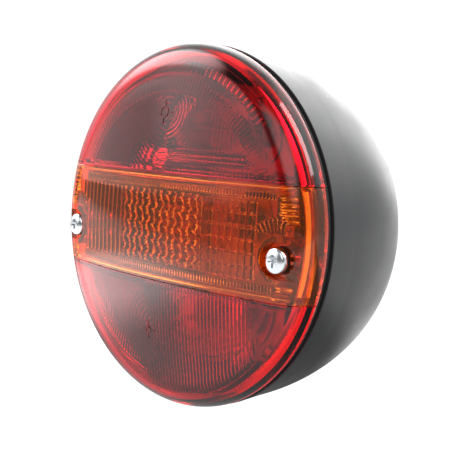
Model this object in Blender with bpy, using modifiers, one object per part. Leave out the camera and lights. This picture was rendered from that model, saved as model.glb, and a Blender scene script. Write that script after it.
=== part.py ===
"""Round three-chamber rear lamp for a trailer, built as separate pieces.

The model is in metres with +Z up. The flat back of the housing lies on Y = 0 and the lens faces -Y.
Every piece hangs from the empty "lamp_axes", whose own Z axis points out of the lens, so a place in
this script reads (across, up, forward), and forward is the distance in front of the mounting face.
"""

import math

import bmesh
import bpy
from mathutils import Matrix

MM = 0.001

# Clearances
FIT_GAP = 0.3 * MM  # between pieces that seat on each other or slide in each other
SCREW_CLEARANCE = 0.4 * MM  # radial, round a shank in its hole
OVERCUT = 5.0 * MM  # how far a cutter runs past what it cuts
OVERLAP = 1.0 * MM  # how far pieces of one moulding run into each other before they are joined

# Housing
BODY_RADIUS = 70.0 * MM  # outside, at the rim
HOUSING_DEPTH = 65.0 * MM  # mounting face to rim
HOUSING_WALL = 2.6 * MM
RIM_WALL = 3.2 * MM
BACK_WALL = 3.0 * MM
STRAIGHT_WALL = 11.3 * MM  # length of the nearly straight side behind the rim
WALL_TAPER = 0.7 * MM  # how much the straight side narrows over that length
BOWL_ROUNDING = 29.5 * MM  # how much narrower the flat back is than the rim

# Gasket between housing and lens
GASKET_THICKNESS = 2.0 * MM
GASKET_WIDTH = 2.0 * MM
GASKET_ROUNDING = 0.4 * MM
GASKET_INSET = 0.1 * MM  # from the inner edge of the housing rim

# Lens
LENS_INSET = 0.1 * MM  # how much narrower the lens is than the housing rim
LENS_EDGE_STEP = 0.4 * MM  # how much the lens narrows at its bottom edge
LENS_SIDE = 1.0 * MM  # height of that edge
LENS_SHOULDER = 11.7 * MM  # radius of the turn from side to face
LENS_DOME = 6.1 * MM  # how far the crown stands in front of the face edge
LENS_WALL = 2.5 * MM
SKIRT_DEPTH = 5.1 * MM  # locating skirt below the lens edge, inside the housing
SKIRT_WALL = 1.3 * MM
AMBER_HEIGHT = 39.7 * MM  # height of the middle band
SEAM_GAP = 0.3 * MM  # weld line between two colours

# Lens screws, in wells at both ends of the amber band
LENS_SCREW_INSET = 12.6 * MM  # from the housing rim
LENS_SCREW_UP = -5.4 * MM
WELL_DEPTH = 3.0 * MM  # well floor behind the edge of the face
WELL_RADIUS = 6.25 * MM
WELL_WALL = 2.05 * MM
WELL_FLOOR = 2.5 * MM
LENS_SCREW_RADIUS = 2.4 * MM
LENS_SCREW_LENGTH = 31.0 * MM  # under the head
SCREW_POINT = 2.0 * MM
PAN_HEAD_RADIUS = 4.7 * MM
PAN_HEAD_HEIGHT = 2.7 * MM
WASHER_THICKNESS = 1.0 * MM
WASHER_RADIUS = 4.6 * MM
BOSS_TUBE_RADIUS = 5.0 * MM
PILLAR_RADIUS = 5.0 * MM
PILLAR_INSET = 3.5 * MM  # pillar tops behind the rim

# Chassis strip that carries the three bulb holders
CHASSIS_FRONT = 33.0 * MM
CHASSIS_THICKNESS = 1.0 * MM
CHASSIS_END_INSET = 13.0 * MM  # each end of the strip, from the housing rim
CHASSIS_SIDE_MARGIN = 4.1 * MM  # outside the earth rivet
CHASSIS_CORNER = 7.0 * MM
CHASSIS_SCREW_ACROSS = 15.0 * MM
CHASSIS_SCREW_MARGIN = 5.0 * MM  # from the end of the strip
CHASSIS_SCREW_RADIUS = 1.3 * MM
CHASSIS_SCREW_LENGTH = 11.0 * MM
CHASSIS_SCREW_HEAD = 3.1 * MM
CHASSIS_SCREW_HEAD_HEIGHT = 1.9 * MM
CHASSIS_PILLAR_RADIUS = 3.5 * MM

# Sheets that keep the light of one chamber out of the next
BAFFLE_THICKNESS = 0.8 * MM
BAFFLE_END_INSET = 16.0 * MM  # each end, from the housing rim
BAFFLE_FLANGE_SPARE = 3.5 * MM  # from a baffle to the flange of the next holder
BAFFLE_LENS_CLEARANCE = 4.0 * MM
BAFFLE_TAB_ACROSS = 12.0 * MM
BAFFLE_TAB_WIDTH = 9.4 * MM
BAFFLE_TAB_DEPTH = 2.0 * MM  # below the back of the chassis strip

# Bayonet bulb holders
HOLDER_WALL = 0.6 * MM
HOLDER_RIM = 38.0 * MM  # front edge of the tube
HOLDER_END = 10.0 * MM  # rear edge of the tube
HOLDER_LIP = 1.2 * MM  # turned in at the rear edge
HOLDER_FLANGE_WIDTH = 6.1 * MM
HOLDER_FLANGE_THICKNESS = 0.8 * MM
RIVET_MARGIN = 2.3 * MM  # from the edge of the flange
RIVET_ANGLE = 80.0  # degrees from the across axis
RIVET_RADIUS = 1.2 * MM
RIVET_HEAD_RADIUS = 2.1 * MM
RIVET_HEAD_HEIGHT = 1.0 * MM
PIN_PLANE = 30.0 * MM  # bayonet pins, bulb at rest
PIN_RADIUS = 1.0 * MM
PIN_HEIGHT = 1.7 * MM  # out of the cap
PIN_CLEARANCE = 0.4 * MM
BAYONET_TURN = 20.0  # degrees from the locked place to the entry slot
PRESS_TRAVEL = 2.5 * MM
BASE_DISC_THICKNESS = 2.0 * MM
PLUNGER_HEAD_RADIUS = 5.0 * MM
PLUNGER_HEAD_HEIGHT = 1.5 * MM
PLUNGER_PIN_RADIUS = 1.6 * MM
PLUNGER_PIN_END = 8.0 * MM
SPRING_RADIUS = 3.9 * MM  # to the middle of the wire
SPRING_WIRE_RADIUS = 0.4 * MM
SPRING_TURNS = 3.0

# Bulbs, measured from the plane of the bayonet pins
CAP_RADIUS = 7.5 * MM
CAP_WALL = 0.7 * MM
CAP_FRONT = 9.0 * MM
CAP_BACK = 6.0 * MM
CAP_LIP = 1.5 * MM
INSULATOR_NOSE = 1.2 * MM  # how far it stands out of the cap
INSULATOR_THICKNESS = 1.5 * MM  # inside the cap
CONTACT_STEM = 1.0 * MM  # how far it stands in front of the insulator
CONTACT_RADIUS = 2.5 * MM
CONTACT_THICKNESS = 0.6 * MM
CONTACT_STEM_RADIUS = 1.2 * MM
GLASS_WALL = 0.7 * MM
GLASS_NECK_START = 1.0 * MM
GLASS_NECK_END = 13.0 * MM
SIGNAL_GLOBE_RADIUS = 13.2 * MM
SIGNAL_BULB_LENGTH = 44.5 * MM  # pins to top of glass, stop and indicator bulbs
TAIL_GLOBE_RADIUS = 9.5 * MM
TAIL_BULB_LENGTH = 30.0 * MM
FILAMENT_WIRE_RADIUS = 0.3 * MM
FILAMENT_HALF_SPAN = 3.0 * MM
FILAMENT_TURNS = 5

# Earth terminal on the chassis strip
EARTH_RIVET_SPARE = 1.3 * MM  # from its head to the nearest holder flange
EARTH_TAB_WIDTH = 6.3 * MM
EARTH_TAB_THICKNESS = 0.8 * MM
EARTH_TAB_LENGTH = 13.0 * MM

# Fixing bolts through the back
BOLT_ACROSS = 22.5 * MM
BOLT_RADIUS = 2.95 * MM
BOLT_REACH = 16.0 * MM  # behind the mounting face
BOLT_HEAD_FLATS = 10.0 * MM
BOLT_HEAD_HEIGHT = 4.0 * MM
BOLT_BOSS_RADIUS = 8.5 * MM
BOLT_BOSS_TOP = 7.8 * MM
BOLT_WASHER_RADIUS = 6.2 * MM
BOLT_WASHER_THICKNESS = 1.6 * MM
NUT_THICKNESS = 5.0 * MM

# Cable grommet in the back
GROMMET_UP = -20.0 * MM
GROMMET_BORE = 3.25 * MM
GROMMET_NECK_RADIUS = 6.7 * MM
GROMMET_FLANGE_RADIUS = 10.0 * MM
GROMMET_FLANGE_THICKNESS = 2.5 * MM
GROMMET_LIP_RADIUS = 8.4 * MM
GROMMET_LIP_THICKNESS = 2.3 * MM
GROMMET_LIP_CUT = 1.0 * MM  # slope of the lip, for pushing it through the wall
GROMMET_BOSS_WALL = 2.2 * MM
GROMMET_BOSS_TOP = 6.5 * MM
GROMMET_RECESS = 3.0 * MM

# Number of flats on turned shapes
LARGE_ROUND = 40
MEDIUM_ROUND = 18
SMALL_ROUND = 12
COIL_STEPS = 9  # points on each turn of a spring

# Radii and places worked out from the sizes above; planes are in front of the mounting face
LENS_RADIUS = BODY_RADIUS - LENS_INSET
GASKET_BACK = HOUSING_DEPTH + FIT_GAP
GASKET_FRONT = GASKET_BACK + GASKET_THICKNESS
LENS_EDGE = GASKET_FRONT + FIT_GAP
SHOULDER_START = LENS_EDGE + LENS_SIDE
FACE_RADIUS = LENS_RADIUS - LENS_SHOULDER
FACE_EDGE = SHOULDER_START + LENS_SHOULDER
LENS_CROWN = FACE_EDGE + LENS_DOME
RIM_BORE = BODY_RADIUS - RIM_WALL
SKIRT_RADIUS = RIM_BORE - FIT_GAP * 1.5
BACK_FLAT_RADIUS = BODY_RADIUS - BOWL_ROUNDING
PILLAR_TOP = HOUSING_DEPTH - PILLAR_INSET
LENS_SCREW_ACROSS = BODY_RADIUS - LENS_SCREW_INSET
WELL_PLANE = FACE_EDGE - WELL_DEPTH
WASHER_PLANE = WELL_PLANE + FIT_GAP
HEAD_PLANE = WASHER_PLANE + WASHER_THICKNESS + FIT_GAP
CHASSIS_BACK = CHASSIS_FRONT - CHASSIS_THICKNESS
FLANGE_BACK = CHASSIS_FRONT + FIT_GAP
FLANGE_FRONT = FLANGE_BACK + HOLDER_FLANGE_THICKNESS
HOLDER_BORE = CAP_RADIUS + FIT_GAP
HOLDER_RADIUS = HOLDER_BORE + HOLDER_WALL
HOLDER_FLANGE_RADIUS = HOLDER_RADIUS + HOLDER_FLANGE_WIDTH
RIVET_CIRCLE = HOLDER_FLANGE_RADIUS - RIVET_MARGIN
PIN_REACH = CAP_RADIUS + PIN_HEIGHT
HOLDER_HOLE = PIN_REACH + PIN_CLEARANCE
GLASS_NECK_RADIUS = CAP_RADIUS - CAP_WALL - 2 * FIT_GAP
BAFFLE_UP = (AMBER_HEIGHT + SEAM_GAP) / 2
BAFFLE_HALF_WIDTH = BODY_RADIUS - BAFFLE_END_INSET
CHAMBER_PITCH = BAFFLE_UP + BAFFLE_FLANGE_SPARE + HOLDER_FLANGE_RADIUS
EARTH_RIVET_ACROSS = HOLDER_FLANGE_RADIUS + EARTH_RIVET_SPARE + RIVET_HEAD_RADIUS
CHASSIS_WIDTH = 2 * (EARTH_RIVET_ACROSS + CHASSIS_SIDE_MARGIN)
CHASSIS_HEIGHT = 2 * (BODY_RADIUS - CHASSIS_END_INSET)
CHASSIS_SCREW_UP = CHASSIS_HEIGHT / 2 - CHASSIS_SCREW_MARGIN
BASE_DISC_BACK = HOLDER_END + HOLDER_WALL + FIT_GAP
BASE_DISC_FRONT = BASE_DISC_BACK + BASE_DISC_THICKNESS
INSULATOR_BACK = PIN_PLANE - CAP_BACK - INSULATOR_NOSE
CONTACT_BACK = INSULATOR_BACK - FIT_GAP - CONTACT_THICKNESS
PLUNGER_FRONT = CONTACT_BACK - FIT_GAP
PLUNGER_HEAD_BACK = PLUNGER_FRONT - PLUNGER_HEAD_HEIGHT

CHAMBERS = {"stop": CHAMBER_PITCH, "indicator": 0.0, "tail": -CHAMBER_PITCH}
SIDES = {"left": -1, "right": 1}

# Colour, roughness, metallic and transmission of each finish
FINISHES = {
    "black_plastic": ((0.020, 0.021, 0.023), 0.35, 0.0, 0.0),
    "rubber": ((0.010, 0.010, 0.010), 0.70, 0.0, 0.0),
    "red_lens": ((0.55, 0.008, 0.015), 0.08, 0.0, 0.6),
    "amber_lens": ((0.90, 0.19, 0.010), 0.08, 0.0, 0.6),
    "zinc": ((0.62, 0.63, 0.65), 0.30, 1.0, 0.0),
    "brass": ((0.70, 0.48, 0.20), 0.30, 1.0, 0.0),
    "glass": ((0.95, 0.97, 0.97), 0.03, 0.0, 0.9),
    "amber_glass": ((0.90, 0.45, 0.08), 0.03, 0.0, 0.8),
    "tungsten": ((0.35, 0.35, 0.36), 0.35, 1.0, 0.0),
    "black_glass": ((0.015, 0.012, 0.018), 0.15, 0.0, 0.0),
    "fibre_board": ((0.20, 0.09, 0.04), 0.60, 0.0, 0.0),
    "spring_steel": ((0.50, 0.50, 0.52), 0.30, 1.0, 0.0),
}


def clear_scene():
    """Remove every object, so that the scene holds only this lamp."""
    for item in list(bpy.data.objects):
        bpy.data.objects.remove(item, do_unlink=True)


def new_collection(name):
    """Make a collection under the scene's own."""
    collection = bpy.data.collections.new(name)
    bpy.context.scene.collection.children.link(collection)
    return collection


def new_empty(name, at=(0, 0, 0), parent=None):
    """Make an axis that pieces hang from."""
    empty = bpy.data.objects.new(name, None)
    PARTS.objects.link(empty)
    empty.parent = parent
    empty.location = at
    empty.empty_display_size = 10 * MM
    return empty


def make_material(name, finish):
    """Give a piece its own material with the values of a finish."""
    colour, roughness, metallic, transmission = FINISHES[finish]
    material = bpy.data.materials.new(name)
    material.use_nodes = True
    shader = material.node_tree.nodes["Principled BSDF"]
    shader.inputs["Base Color"].default_value = (*colour, 1.0)
    shader.inputs["Roughness"].default_value = roughness
    shader.inputs["Metallic"].default_value = metallic
    shader.inputs["Transmission Weight"].default_value = transmission
    return material


def add_object(name, mesh, finish=None, at=(0, 0, 0), parent=None):
    """Link a mesh as a named piece, or as a hidden guide when it has no finish."""
    item = bpy.data.objects.new(name, mesh)
    if finish is None:
        GUIDES.objects.link(item)
        item.hide_render = True
        item.display_type = "WIRE"
    else:
        PARTS.objects.link(item)
        mesh.materials.append(make_material(name, finish))
    item.parent = parent or AXES
    item.location = at
    return item


def shade(mesh):
    """Shade round faces smooth and keep edges over 35 degrees sharp."""
    mesh.shade_smooth()
    mesh.set_sharp_from_angle(angle=math.radians(35))


def turned(name, profile, segments, finish=None, at=(0, 0, 0), parent=None, closed=False):
    """Turn a profile of (radius, forward) points that runs down its outer side.

    A profile that starts and ends on the axis makes a solid or a cup, and a closed one makes a ring.
    """
    mesh = bpy.data.meshes.new(name)
    points = [(radius, 0, forward) for radius, forward in profile]
    edges = [(i, i + 1) for i in range(len(points) - 1)]
    if closed:
        edges.append((len(points) - 1, 0))
    mesh.from_pydata(points, edges, [])
    item = add_object(name, mesh, finish, at, parent)
    screw = item.modifiers.new("Turn", "SCREW")
    screw.axis = "Z"
    screw.angle = math.tau
    screw.steps = segments
    screw.render_steps = segments
    screw.use_merge_vertices = True
    screw.merge_threshold = 0.00001
    screw.use_smooth_shade = True
    return item


def arc(centre, radius, start, end, steps, radius_up=None):
    """Points on a circle, or an ellipse, from one angle in degrees to another."""
    radius_up = radius if radius_up is None else radius_up
    points = []
    for i in range(steps + 1):
        angle = math.radians(start + (end - start) * i / steps)
        points.append((centre[0] + radius * math.cos(angle), centre[1] + radius_up * math.sin(angle)))
    return points


def rods(name, places, segments, finish=None):
    """Make upright cylinders from (across, up, radius, low, high) places in one mesh."""
    mesh = bpy.data.meshes.new(name)
    shape = bmesh.new()
    for across, up, radius, low, high in places:
        bmesh.ops.create_cone(
            shape,
            cap_ends=True,
            segments=segments,
            radius1=radius,
            radius2=radius,
            depth=high - low,
            matrix=Matrix.Translation((across, up, (low + high) / 2)),
        )
    shape.to_mesh(mesh)
    shape.free()
    return add_object(name, mesh, finish)


def block(name, low, high, finish=None, at=(0, 0, 0), parent=None):
    """Make a box between two corners."""
    mesh = bpy.data.meshes.new(name)
    shape = bmesh.new()
    size = [top - bottom for bottom, top in zip(low, high)]
    middle = [(top + bottom) / 2 for bottom, top in zip(low, high)]
    bmesh.ops.create_cube(shape, size=1.0, matrix=Matrix.Diagonal((*size, 1.0)))
    bmesh.ops.translate(shape, verts=shape.verts, vec=middle)
    shape.to_mesh(mesh)
    shape.free()
    return add_object(name, mesh, finish, at, parent)


def curve_to_mesh(name, curve):
    """Turn a curve into a closed mesh and drop the curve."""
    holder = bpy.data.objects.new(name + "_curve", curve)
    GUIDES.objects.link(holder)
    evaluated = holder.evaluated_get(bpy.context.evaluated_depsgraph_get())
    mesh = bpy.data.meshes.new_from_object(evaluated)
    mesh.transform(holder.matrix_world)
    bpy.data.objects.remove(holder, do_unlink=True)
    shape = bmesh.new()
    shape.from_mesh(mesh)
    bmesh.ops.remove_doubles(shape, verts=shape.verts, dist=0.000005)
    shape.to_mesh(mesh)
    shape.free()
    mesh.name = name
    mesh.materials.clear()
    return mesh


def plate(name, outlines, low, high, finish=None, turn=None, at=(0, 0, 0)):
    """Extrude flat outlines between two planes; the first is the edge and the rest are holes."""
    curve = bpy.data.curves.new(name, "CURVE")
    curve.dimensions = "2D"
    curve.fill_mode = "BOTH"
    curve.extrude = (high - low) / 2
    for outline in outlines:
        spline = curve.splines.new("POLY")
        spline.points.add(len(outline) - 1)
        for point, (x, y) in zip(spline.points, outline):
            point.co = (x, y, 0, 1)
        spline.use_cyclic_u = True
    mesh = curve_to_mesh(name, curve)
    mesh.transform(Matrix.Translation((0, 0, (low + high) / 2)))
    if turn is not None:
        mesh.transform(turn)
    return add_object(name, mesh, finish, at)


def wire(name, points, radius, finish, parent=None):
    """Run a round wire with closed ends through points."""
    curve = bpy.data.curves.new(name, "CURVE")
    curve.dimensions = "3D"
    curve.bevel_depth = radius
    curve.bevel_resolution = 1
    curve.use_fill_caps = True
    spline = curve.splines.new("POLY")
    spline.points.add(len(points) - 1)
    for point, place in zip(spline.points, points):
        point.co = (*place, 1)
    mesh = curve_to_mesh(name, curve)
    shade(mesh)
    return add_object(name, mesh, finish, (0, 0, 0), parent)


def boolean(item, tool, operation="DIFFERENCE"):
    """Cut, join or intersect a piece with a guide."""
    modifier = item.modifiers.new(tool.name, "BOOLEAN")
    modifier.operation = operation
    modifier.solver = "EXACT"
    modifier.object = tool


def circle(across, up, radius, steps):
    """A closed round outline."""
    return arc((across, up), radius, 0, 360 * (steps - 1) / steps, steps - 1)


def hexagon(flats, across=0.0):
    """A six-sided outline about a place, with its corners along the across axis."""
    return circle(across, 0, flats / 2 / math.cos(math.pi / 6), 6)


def rounded_rectangle(width, height, corner, steps=4):
    """A closed outline with round corners about the origin."""
    outline = []
    for quarter, (sx, sy) in enumerate(((1, 1), (-1, 1), (-1, -1), (1, -1))):
        centre = (sx * (width / 2 - corner), sy * (height / 2 - corner))
        outline += arc(centre, corner, 90 * quarter, 90 * quarter + 90, steps)
    return outline


def rectangle(across, up, width, height):
    """A closed outline with square corners about a place."""
    return [
        (across - width / 2, up - height / 2),
        (across + width / 2, up - height / 2),
        (across + width / 2, up + height / 2),
        (across - width / 2, up + height / 2),
    ]


def bowl_side(inset, back, steps=9):
    """Points down the bowl's side from its rim to its flat back, moved inwards by an inset."""
    knee = HOUSING_DEPTH - STRAIGHT_WALL
    side_radius = BODY_RADIUS - WALL_TAPER - inset
    turn = side_radius - (BACK_FLAT_RADIUS - inset * 0.6)
    rounding = arc((side_radius - turn, knee), turn, 0, -90, steps, radius_up=knee - back)
    return [(BODY_RADIUS - inset, HOUSING_DEPTH)] + rounding


def lens_outside(inset, steps=5):
    """Points down the outside of the lens from its crown to its edge, moved inwards by an inset."""
    points = []
    for i in range(4):
        share = i / 4
        points.append((FACE_RADIUS * share, LENS_CROWN - LENS_DOME * share**2 - inset))
    points += arc((FACE_RADIUS, SHOULDER_START), LENS_SHOULDER - inset, 90, 0, steps)
    points.append((LENS_RADIUS - LENS_EDGE_STEP - inset, LENS_EDGE))
    return points


def lens_profile():
    """The section of the whole lens: a domed shell with a locating skirt."""
    skirt_bore = SKIRT_RADIUS - SKIRT_WALL
    inner_turn = LENS_SHOULDER - LENS_WALL
    skirt_angle = math.degrees(math.acos((skirt_bore - FACE_RADIUS) / inner_turn))
    profile = lens_outside(0)
    profile.append((SKIRT_RADIUS, LENS_EDGE))
    profile.append((SKIRT_RADIUS, LENS_EDGE - SKIRT_DEPTH))
    profile.append((skirt_bore, LENS_EDGE - SKIRT_DEPTH))
    profile += arc((FACE_RADIUS, SHOULDER_START), inner_turn, skirt_angle, 90, 3)
    for i in range(3, -1, -1):
        share = i / 4
        forward = LENS_CROWN - LENS_DOME * share**2 - LENS_WALL
        profile.append((FACE_RADIUS * share, forward))
    return profile


def make_housing():
    """The black bowl with its screw pillars, bolt bosses and grommet seat."""
    outside = bowl_side(0, 0) + [(0, 0)]
    inner_side = bowl_side(HOUSING_WALL, BACK_WALL)
    inner_side[0] = (RIM_BORE, HOUSING_DEPTH)
    inside = [(0, BACK_WALL)] + inner_side[::-1]
    housing = turned("housing", inside + outside, LARGE_ROUND, "black_plastic")

    pillars = []
    for side in SIDES.values():
        across = side * LENS_SCREW_ACROSS
        pillars.append((across, LENS_SCREW_UP, PILLAR_RADIUS, 0, PILLAR_TOP))
        for up in (CHASSIS_SCREW_UP, -CHASSIS_SCREW_UP):
            across = side * CHASSIS_SCREW_ACROSS
            pillars.append((across, up, CHASSIS_PILLAR_RADIUS, 0, CHASSIS_BACK - FIT_GAP))
        pillars.append((side * BOLT_ACROSS, 0, BOLT_BOSS_RADIUS, 0, BOLT_BOSS_TOP))
    boss_radius = GROMMET_FLANGE_RADIUS + FIT_GAP + GROMMET_BOSS_WALL
    pillars.append((0, GROMMET_UP, boss_radius, 0, GROMMET_BOSS_TOP))
    pillar_tool = rods("housing_pillars", pillars, MEDIUM_ROUND)
    limit = turned(
        "pillar_limit",
        [(0, HOUSING_DEPTH)] + bowl_side(HOUSING_WALL / 2, BACK_WALL / 2) + [(0, BACK_WALL / 2)],
        LARGE_ROUND,
    )
    boolean(pillar_tool, limit, "INTERSECT")
    boolean(housing, pillar_tool, "UNION")

    below = -OVERCUT
    holes = []
    for side in SIDES.values():
        bore = LENS_SCREW_RADIUS + SCREW_CLEARANCE
        bottom = HEAD_PLANE - LENS_SCREW_LENGTH - SCREW_POINT
        across = side * LENS_SCREW_ACROSS
        holes.append((across, LENS_SCREW_UP, bore, bottom, PILLAR_TOP + OVERCUT))
        for up in (CHASSIS_SCREW_UP, -CHASSIS_SCREW_UP):
            across = side * CHASSIS_SCREW_ACROSS
            bore = CHASSIS_SCREW_RADIUS + FIT_GAP
            bottom = CHASSIS_FRONT - CHASSIS_SCREW_LENGTH - SCREW_POINT
            holes.append((across, up, bore, bottom, CHASSIS_FRONT + OVERCUT))
        bore = BOLT_RADIUS + SCREW_CLEARANCE
        holes.append((side * BOLT_ACROSS, 0, bore, below, BOLT_BOSS_TOP + OVERCUT))
    neck_bore = GROMMET_NECK_RADIUS + FIT_GAP
    holes.append((0, GROMMET_UP, neck_bore, below, GROMMET_BOSS_TOP + OVERCUT))
    boolean(housing, rods("housing_holes", holes, SMALL_ROUND))
    recess = (0, GROMMET_UP, GROMMET_FLANGE_RADIUS + FIT_GAP, below, GROMMET_RECESS)
    boolean(housing, rods("grommet_recess", [recess], MEDIUM_ROUND))
    pockets = [hexagon(BOLT_HEAD_FLATS + 2 * FIT_GAP, side * BOLT_ACROSS) for side in SIDES.values()]
    pocket_floor = BACK_WALL + FIT_GAP
    boolean(housing, plate("bolt_head_pockets", pockets, pocket_floor, BOLT_BOSS_TOP + OVERCUT))


def make_gasket():
    """The rubber ring that the lens edge presses against the housing rim."""
    bore = RIM_BORE + GASKET_INSET
    outside = bore + GASKET_WIDTH
    cut = GASKET_ROUNDING
    section = [
        (bore, GASKET_FRONT),
        (outside - cut, GASKET_FRONT),
        (outside, GASKET_FRONT - cut),
        (outside, GASKET_BACK + cut),
        (outside - cut, GASKET_BACK),
        (bore, GASKET_BACK),
    ]
    turned("lens_gasket", section, LARGE_ROUND, "rubber", closed=True)


def make_lens():
    """Three bands of one domed lens, red, amber and red, with the screw wells in the amber."""
    reach = BODY_RADIUS + OVERCUT
    half = AMBER_HEIGHT / 2
    front = LENS_CROWN + OVERCUT
    bands = {
        "lens_red_upper": (half + SEAM_GAP, reach, "red_lens"),
        "lens_amber": (-half, half, "amber_lens"),
        "lens_red_lower": (-reach, -half - SEAM_GAP, "red_lens"),
    }
    for name, (low, high, finish) in bands.items():
        band = turned(name, lens_profile(), LARGE_ROUND, finish)
        box = block(name + "_band", (-reach, low, BACK_WALL), (reach, high, front))
        if name == "lens_amber":
            add_screw_wells(band)
        boolean(band, box, "INTERSECT")


def open_slot(across, up, radius, end):
    """A closed outline: half a circle about a place, with straight sides that run out to an end."""
    turn = 90 if end > across else -90
    outline = arc((across, up), radius, turn, turn + 180, MEDIUM_ROUND // 2)
    return outline + [(end, outline[-1][1]), (end, outline[0][1])]


def add_screw_wells(lens):
    """Join a cup and a tube to the lens at each screw, then open the cup towards the rim."""
    cup_back = WELL_PLANE - WELL_FLOOR
    limit = turned("well_limit", lens_outside(LENS_WALL / 2) + [(0, LENS_EDGE)], LARGE_ROUND)
    for side_name, side in SIDES.items():
        across = side * LENS_SCREW_ACROSS
        outline = open_slot(across, LENS_SCREW_UP, WELL_RADIUS + WELL_WALL, side * LENS_RADIUS)
        cup = plate(f"well_cup_{side_name}", [outline], cup_back, LENS_CROWN)
        boolean(cup, limit, "INTERSECT")
        boolean(lens, cup, "UNION")
        tube_back = PILLAR_TOP + FIT_GAP * 2
        tube_place = (across, LENS_SCREW_UP, BOSS_TUBE_RADIUS, tube_back, cup_back + OVERLAP)
        boolean(lens, rods(f"boss_tube_{side_name}", [tube_place], MEDIUM_ROUND), "UNION")
        outer = side * (LENS_RADIUS + OVERCUT)
        outline = open_slot(across, LENS_SCREW_UP, WELL_RADIUS, outer)
        boolean(lens, plate(f"well_{side_name}", [outline], WELL_PLANE, LENS_CROWN + OVERCUT))
        bore = LENS_SCREW_RADIUS + SCREW_CLEARANCE
        bore_place = (across, LENS_SCREW_UP, bore, tube_back - OVERCUT, LENS_CROWN)
        boolean(lens, rods(f"boss_bore_{side_name}", [bore_place], SMALL_ROUND))


def pan_head_screw(name, radius, length, head_radius, head_height, at, cross_depth):
    """A cross-recessed pan head screw with its origin under the head."""
    profile = [
        (0, head_height),
        (head_radius * 0.55, head_height * 0.95),
        (head_radius * 0.86, head_height * 0.68),
        (head_radius, head_height * 0.3),
        (head_radius, 0),
        (radius, 0),
        (radius, SCREW_POINT - length),
        (radius * 0.35, -length),
        (0, -length),
    ]
    screw = turned(name, profile, MEDIUM_ROUND if cross_depth else SMALL_ROUND, "zinc", at)
    arm = head_radius * 0.56
    blade = head_radius * 0.13
    low = head_height * (1 - cross_depth)
    for turn, (half_across, half_up) in enumerate(((arm, blade), (blade, arm))):
        if not cross_depth:
            break
        cut = block(
            f"{name}_cross_{turn}",
            (-half_across, -half_up, low + turn * 0.05 * MM),
            (half_across, half_up, head_height * 2),
            at=at,
        )
        boolean(screw, cut)


def make_lens_screws():
    """The two lens screws and the rubber washers under their heads."""
    for side_name, side in SIDES.items():
        across = side * LENS_SCREW_ACROSS
        at = (across, LENS_SCREW_UP, HEAD_PLANE)
        name = f"lens_screw_{side_name}"
        head = (PAN_HEAD_RADIUS, PAN_HEAD_HEIGHT)
        pan_head_screw(name, LENS_SCREW_RADIUS, LENS_SCREW_LENGTH, *head, at, 0.8)
        bore = LENS_SCREW_RADIUS + SCREW_CLEARANCE
        ring = [
            (bore, WASHER_THICKNESS),
            (WASHER_RADIUS, WASHER_THICKNESS),
            (WASHER_RADIUS, 0),
            (bore, 0),
        ]
        at = (across, LENS_SCREW_UP, WASHER_PLANE)
        turned(f"screw_washer_{side_name}", ring, MEDIUM_ROUND, "rubber", at, closed=True)


def make_chassis():
    """The plated strip with its holder holes, tab slots and screw holes, and its four screws."""
    outlines = [rounded_rectangle(CHASSIS_WIDTH, CHASSIS_HEIGHT, CHASSIS_CORNER)]
    slot_width = BAFFLE_TAB_WIDTH + FIT_GAP * 2
    slot_height = BAFFLE_THICKNESS + FIT_GAP * 2
    for up in CHAMBERS.values():
        outlines.append(circle(0, up, HOLDER_HOLE, MEDIUM_ROUND))
        for across, rivet_up in rivet_places(up):
            outlines.append(circle(across, rivet_up, RIVET_RADIUS + FIT_GAP, 10))
    for side in SIDES.values():
        for up in (BAFFLE_UP, -BAFFLE_UP):
            outlines.append(rectangle(side * BAFFLE_TAB_ACROSS, up, slot_width, slot_height))
        for up in (CHASSIS_SCREW_UP, -CHASSIS_SCREW_UP):
            across = side * CHASSIS_SCREW_ACROSS
            outlines.append(circle(across, up, CHASSIS_SCREW_RADIUS + SCREW_CLEARANCE, 10))
    outlines.append(circle(EARTH_RIVET_ACROSS, 0, RIVET_RADIUS + FIT_GAP, 10))
    plate("chassis_strip", outlines, CHASSIS_BACK, CHASSIS_FRONT, "zinc")

    for side_name, side in SIDES.items():
        for level, up in (("upper", CHASSIS_SCREW_UP), ("lower", -CHASSIS_SCREW_UP)):
            at = (side * CHASSIS_SCREW_ACROSS, up, CHASSIS_FRONT + FIT_GAP)
            name = f"chassis_screw_{level}_{side_name}"
            length = CHASSIS_SCREW_LENGTH
            head = (CHASSIS_SCREW_HEAD, CHASSIS_SCREW_HEAD_HEIGHT)
            pan_head_screw(name, CHASSIS_SCREW_RADIUS, length, *head, at, 0)


def make_baffles():
    """The sheets between the chambers, with two tabs each through the chassis strip."""
    base = CHASSIS_FRONT + FIT_GAP
    tab_end = CHASSIS_BACK - BAFFLE_TAB_DEPTH
    upright = Matrix.Rotation(math.pi / 2, 4, "X")
    front = []
    for i in range(9):
        across = BAFFLE_HALF_WIDTH * (1 - i / 4)
        radius = math.hypot(across, BAFFLE_UP)
        dome = LENS_CROWN - LENS_DOME * (radius / FACE_RADIUS) ** 2
        front.append((across, dome - LENS_WALL - BAFFLE_LENS_CLEARANCE))
    half_tab = BAFFLE_TAB_WIDTH / 2
    bottom = [(-BAFFLE_HALF_WIDTH, base)]
    for side in (-1, 1):
        middle = side * BAFFLE_TAB_ACROSS
        bottom += [(middle - half_tab, base), (middle - half_tab, tab_end)]
        bottom += [(middle + half_tab, tab_end), (middle + half_tab, base)]
    bottom.append((BAFFLE_HALF_WIDTH, base))
    half = BAFFLE_THICKNESS / 2
    for name, up in (("light_baffle_upper", BAFFLE_UP), ("light_baffle_lower", -BAFFLE_UP)):
        plate(name, [bottom + front], -half, half, "zinc", upright, (0, up, 0))


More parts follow.
